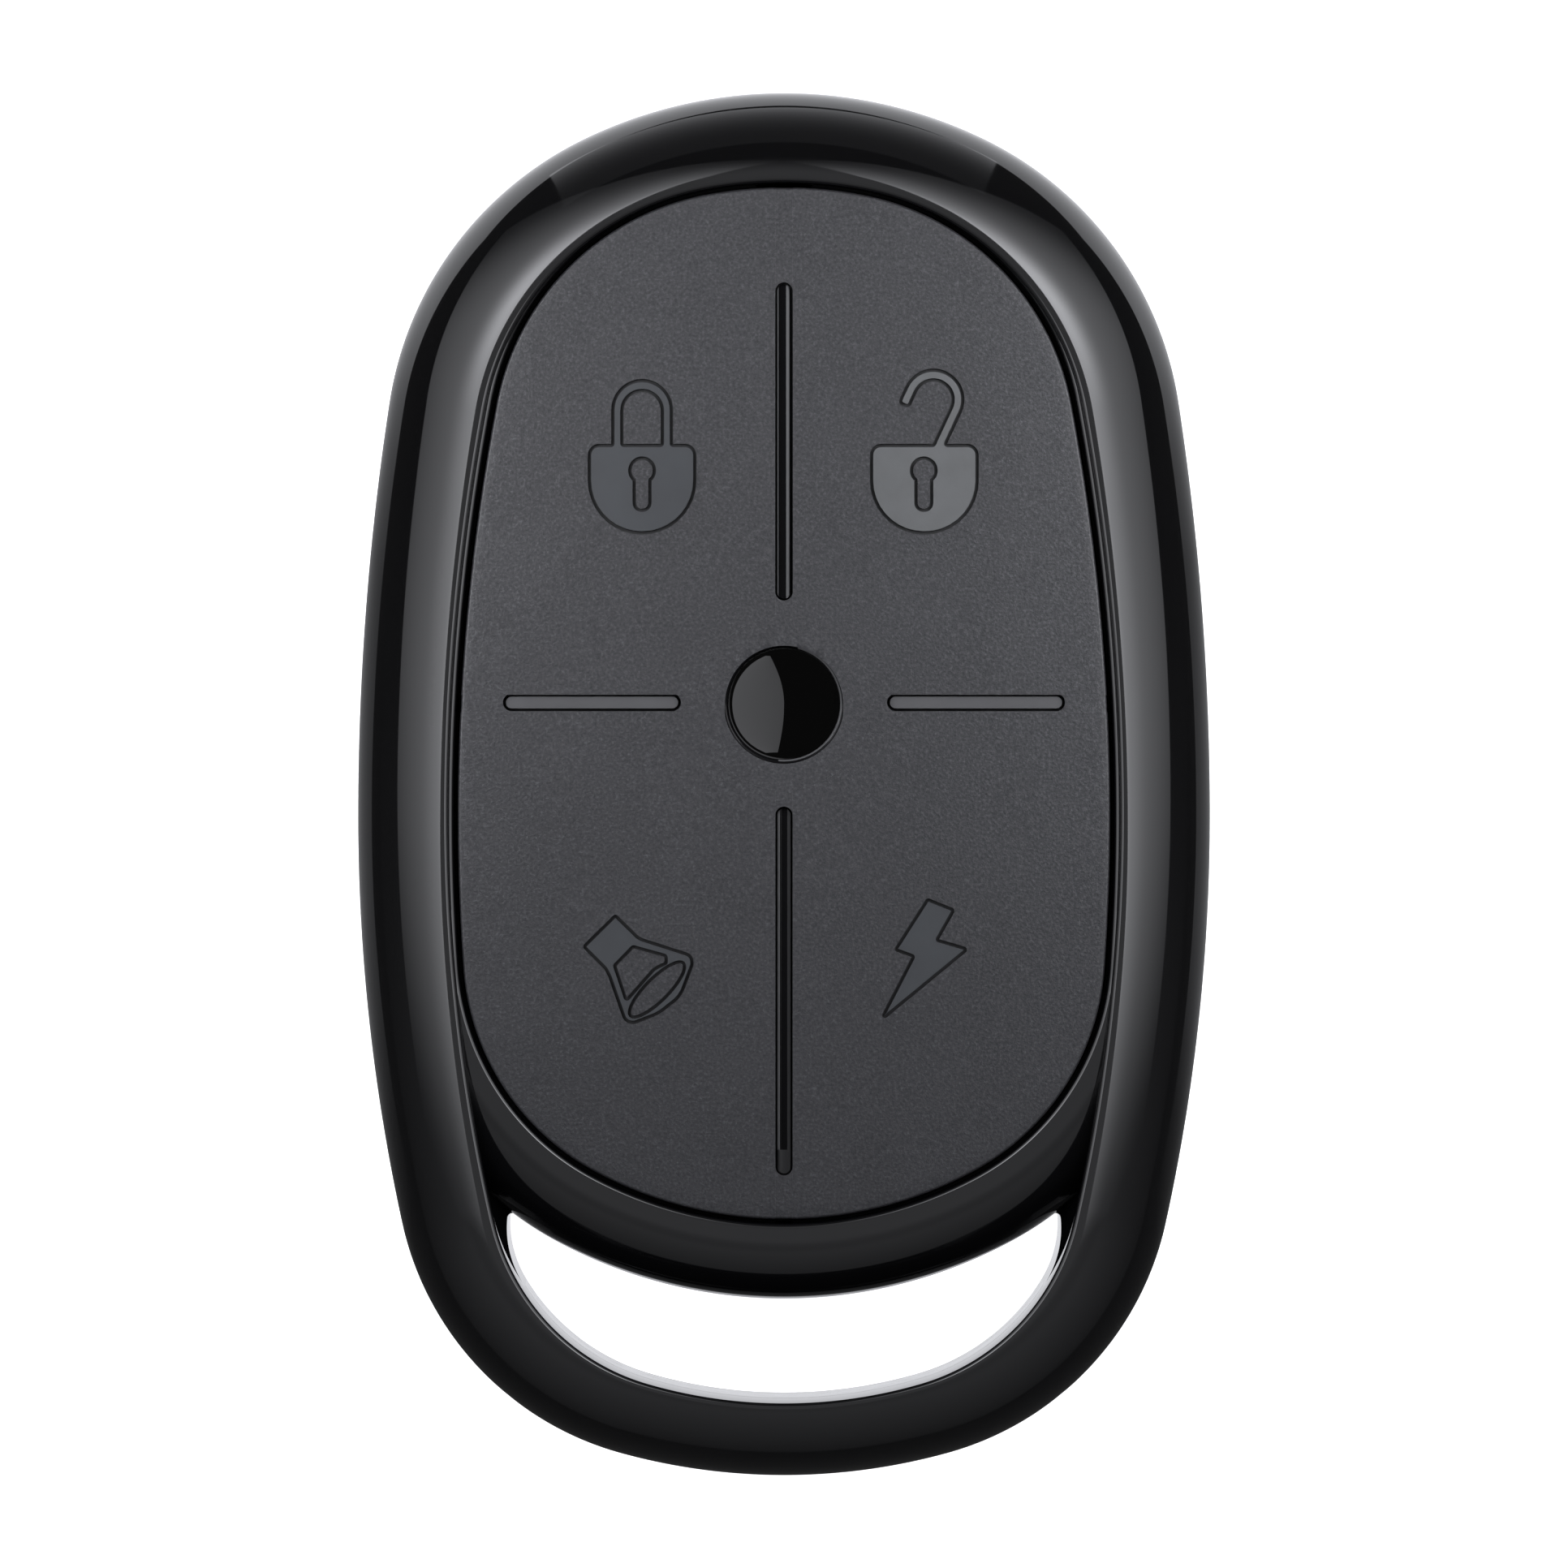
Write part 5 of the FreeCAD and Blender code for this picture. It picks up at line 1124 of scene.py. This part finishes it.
def lensWindow(u, v):  # the one window that the lens mirrors: a lune left of the middle
    y = window["half"] - 2 * window["half"] * v
    bulge = window["bulgeAbove"] if y > 0 else window["bulgeBelow"]
    right, left = -bulge * (y / window["bulgeAt"]) ** 2, -math.sqrt(window["radius"] ** 2 - y * y)
    x = right + (left - right) * u
    return (x, y, math.sqrt(1 - x * x - y * y))


def addTableGlow(name, low, high, glow):  # the lit table, as the glossy edges mirror it
    below = -2 * table["below"]

    def place(u, v):
        return ((low[0] + (high[0] - low[0]) * u) * mm, (low[1] + (high[1] - low[1]) * v) * mm, below)

    return addPatch(name, place, lambda u, v: glow(low[1] + (high[1] - low[1]) * v), 1, 12, ("diffuse",))


def linkLight(light, state, pieces):  # the light reaches only these pieces, or everything but them
    group = bpy.data.collections.new(light.name + "Receivers")
    for piece in pieces:
        group.objects.link(piece)
    light.light_linking.receiver_collection = group
    for member in group.collection_objects:
        member.light_linking.link_state = state


# where each patch starts and how far it sweeps, in azimuth and zenith, how it glows, its steps and distance
sky = {"topPanel": ((62, 60), (64, 51), lambda u, v: 0.1 + 1.1 * v ** 3),
       "lowGlow": ((-195, 210), (33, 67), lambda u, v: 0.5 * softStep(0, 0.25, u) * softStep(0, 0.25, 1 - u)
                   * softStep(0, 0.25, v) * (1 - 0.9 * v)),
       "overhead": ((0, 360), (1, 46), lambda u, v: 0.55 * (1 - softStep(0.6, 1, v)), (48, 12), 0.8)}
# lit stretches of the table, in mm, fading towards the viewer
lit = {"tableBeside": ((-38, -24), (38, 47.5), lambda y: 0.24 * softStep(-24, -5, y) + softStep(12, 34, y)),
       "tableUnderSlot": ((-14, -30), (14, -19), lambda y: 0.8)}
# lamps near both sides of the panel: azimuth, zenith and strength
lamps = {"right": ((5, 40), (33, 24), 13.0), "left": ((135, 40), (33, 24), 13.8), "distance": 0.085}


def addLights():
    matte = keyPieces + [keyFrame]
    lights = [addSoftbox("leftSoftbox", -1, 0.88), addSoftbox("rightSoftbox", 1, 1.0)]
    for name, (azimuth, zenith, *rest) in sky.items():
        lights.append(addGlow(name, polarPatch(azimuth, zenith), *rest))
    lights += [addTableGlow(name, *values) for name, values in lit.items()]
    for light in lights:
        spared = matte if light.name in ("lowGlow", "overhead") else []
        linkLight(light, "EXCLUDE", [statusLens] + spared)
    lensLight = addGlow("lensWindow", lensWindow, lambda u, v: 1.0 + 0.42 * u, distance=window["distance"])
    linkLight(lensLight, "INCLUDE", [statusLens])
    for side in ("right", "left"):
        azimuth, zenith, strength = lamps[side]
        direction = polarPatch(azimuth, zenith)
        lamp = addGlow("panelLight", direction, lambda u, v: strength, (8, 6), lamps["distance"])
        linkLight(lamp, "INCLUDE", matte)
    print("placed", len(lights) + 3, "lit patches")


def addWorld():  # pale behind the table's edge, dark in the reflections
    world = bpy.data.worlds.new("studio")
    world.use_nodes = True
    tree = world.node_tree
    tree.nodes.clear()
    path = node(tree, "ShaderNodeLightPath")
    dark = node(tree, "ShaderNodeBackground", Color=(0.045, 0.045, 0.045, 1))
    pale = node(tree, "ShaderNodeBackground", Color=(0.9, 0.9, 0.9, 1))
    mixed = node(tree, "ShaderNodeMixShader", {}, {0: path.outputs["Is Camera Ray"], 1: dark, 2: pale})
    node(tree, "ShaderNodeOutputWorld", Surface=mixed)
    bpy.context.scene.world = world


addCamera()
addFloor()
addLights()
addWorld()
bpy.context.scene.view_settings.view_transform = "Standard"
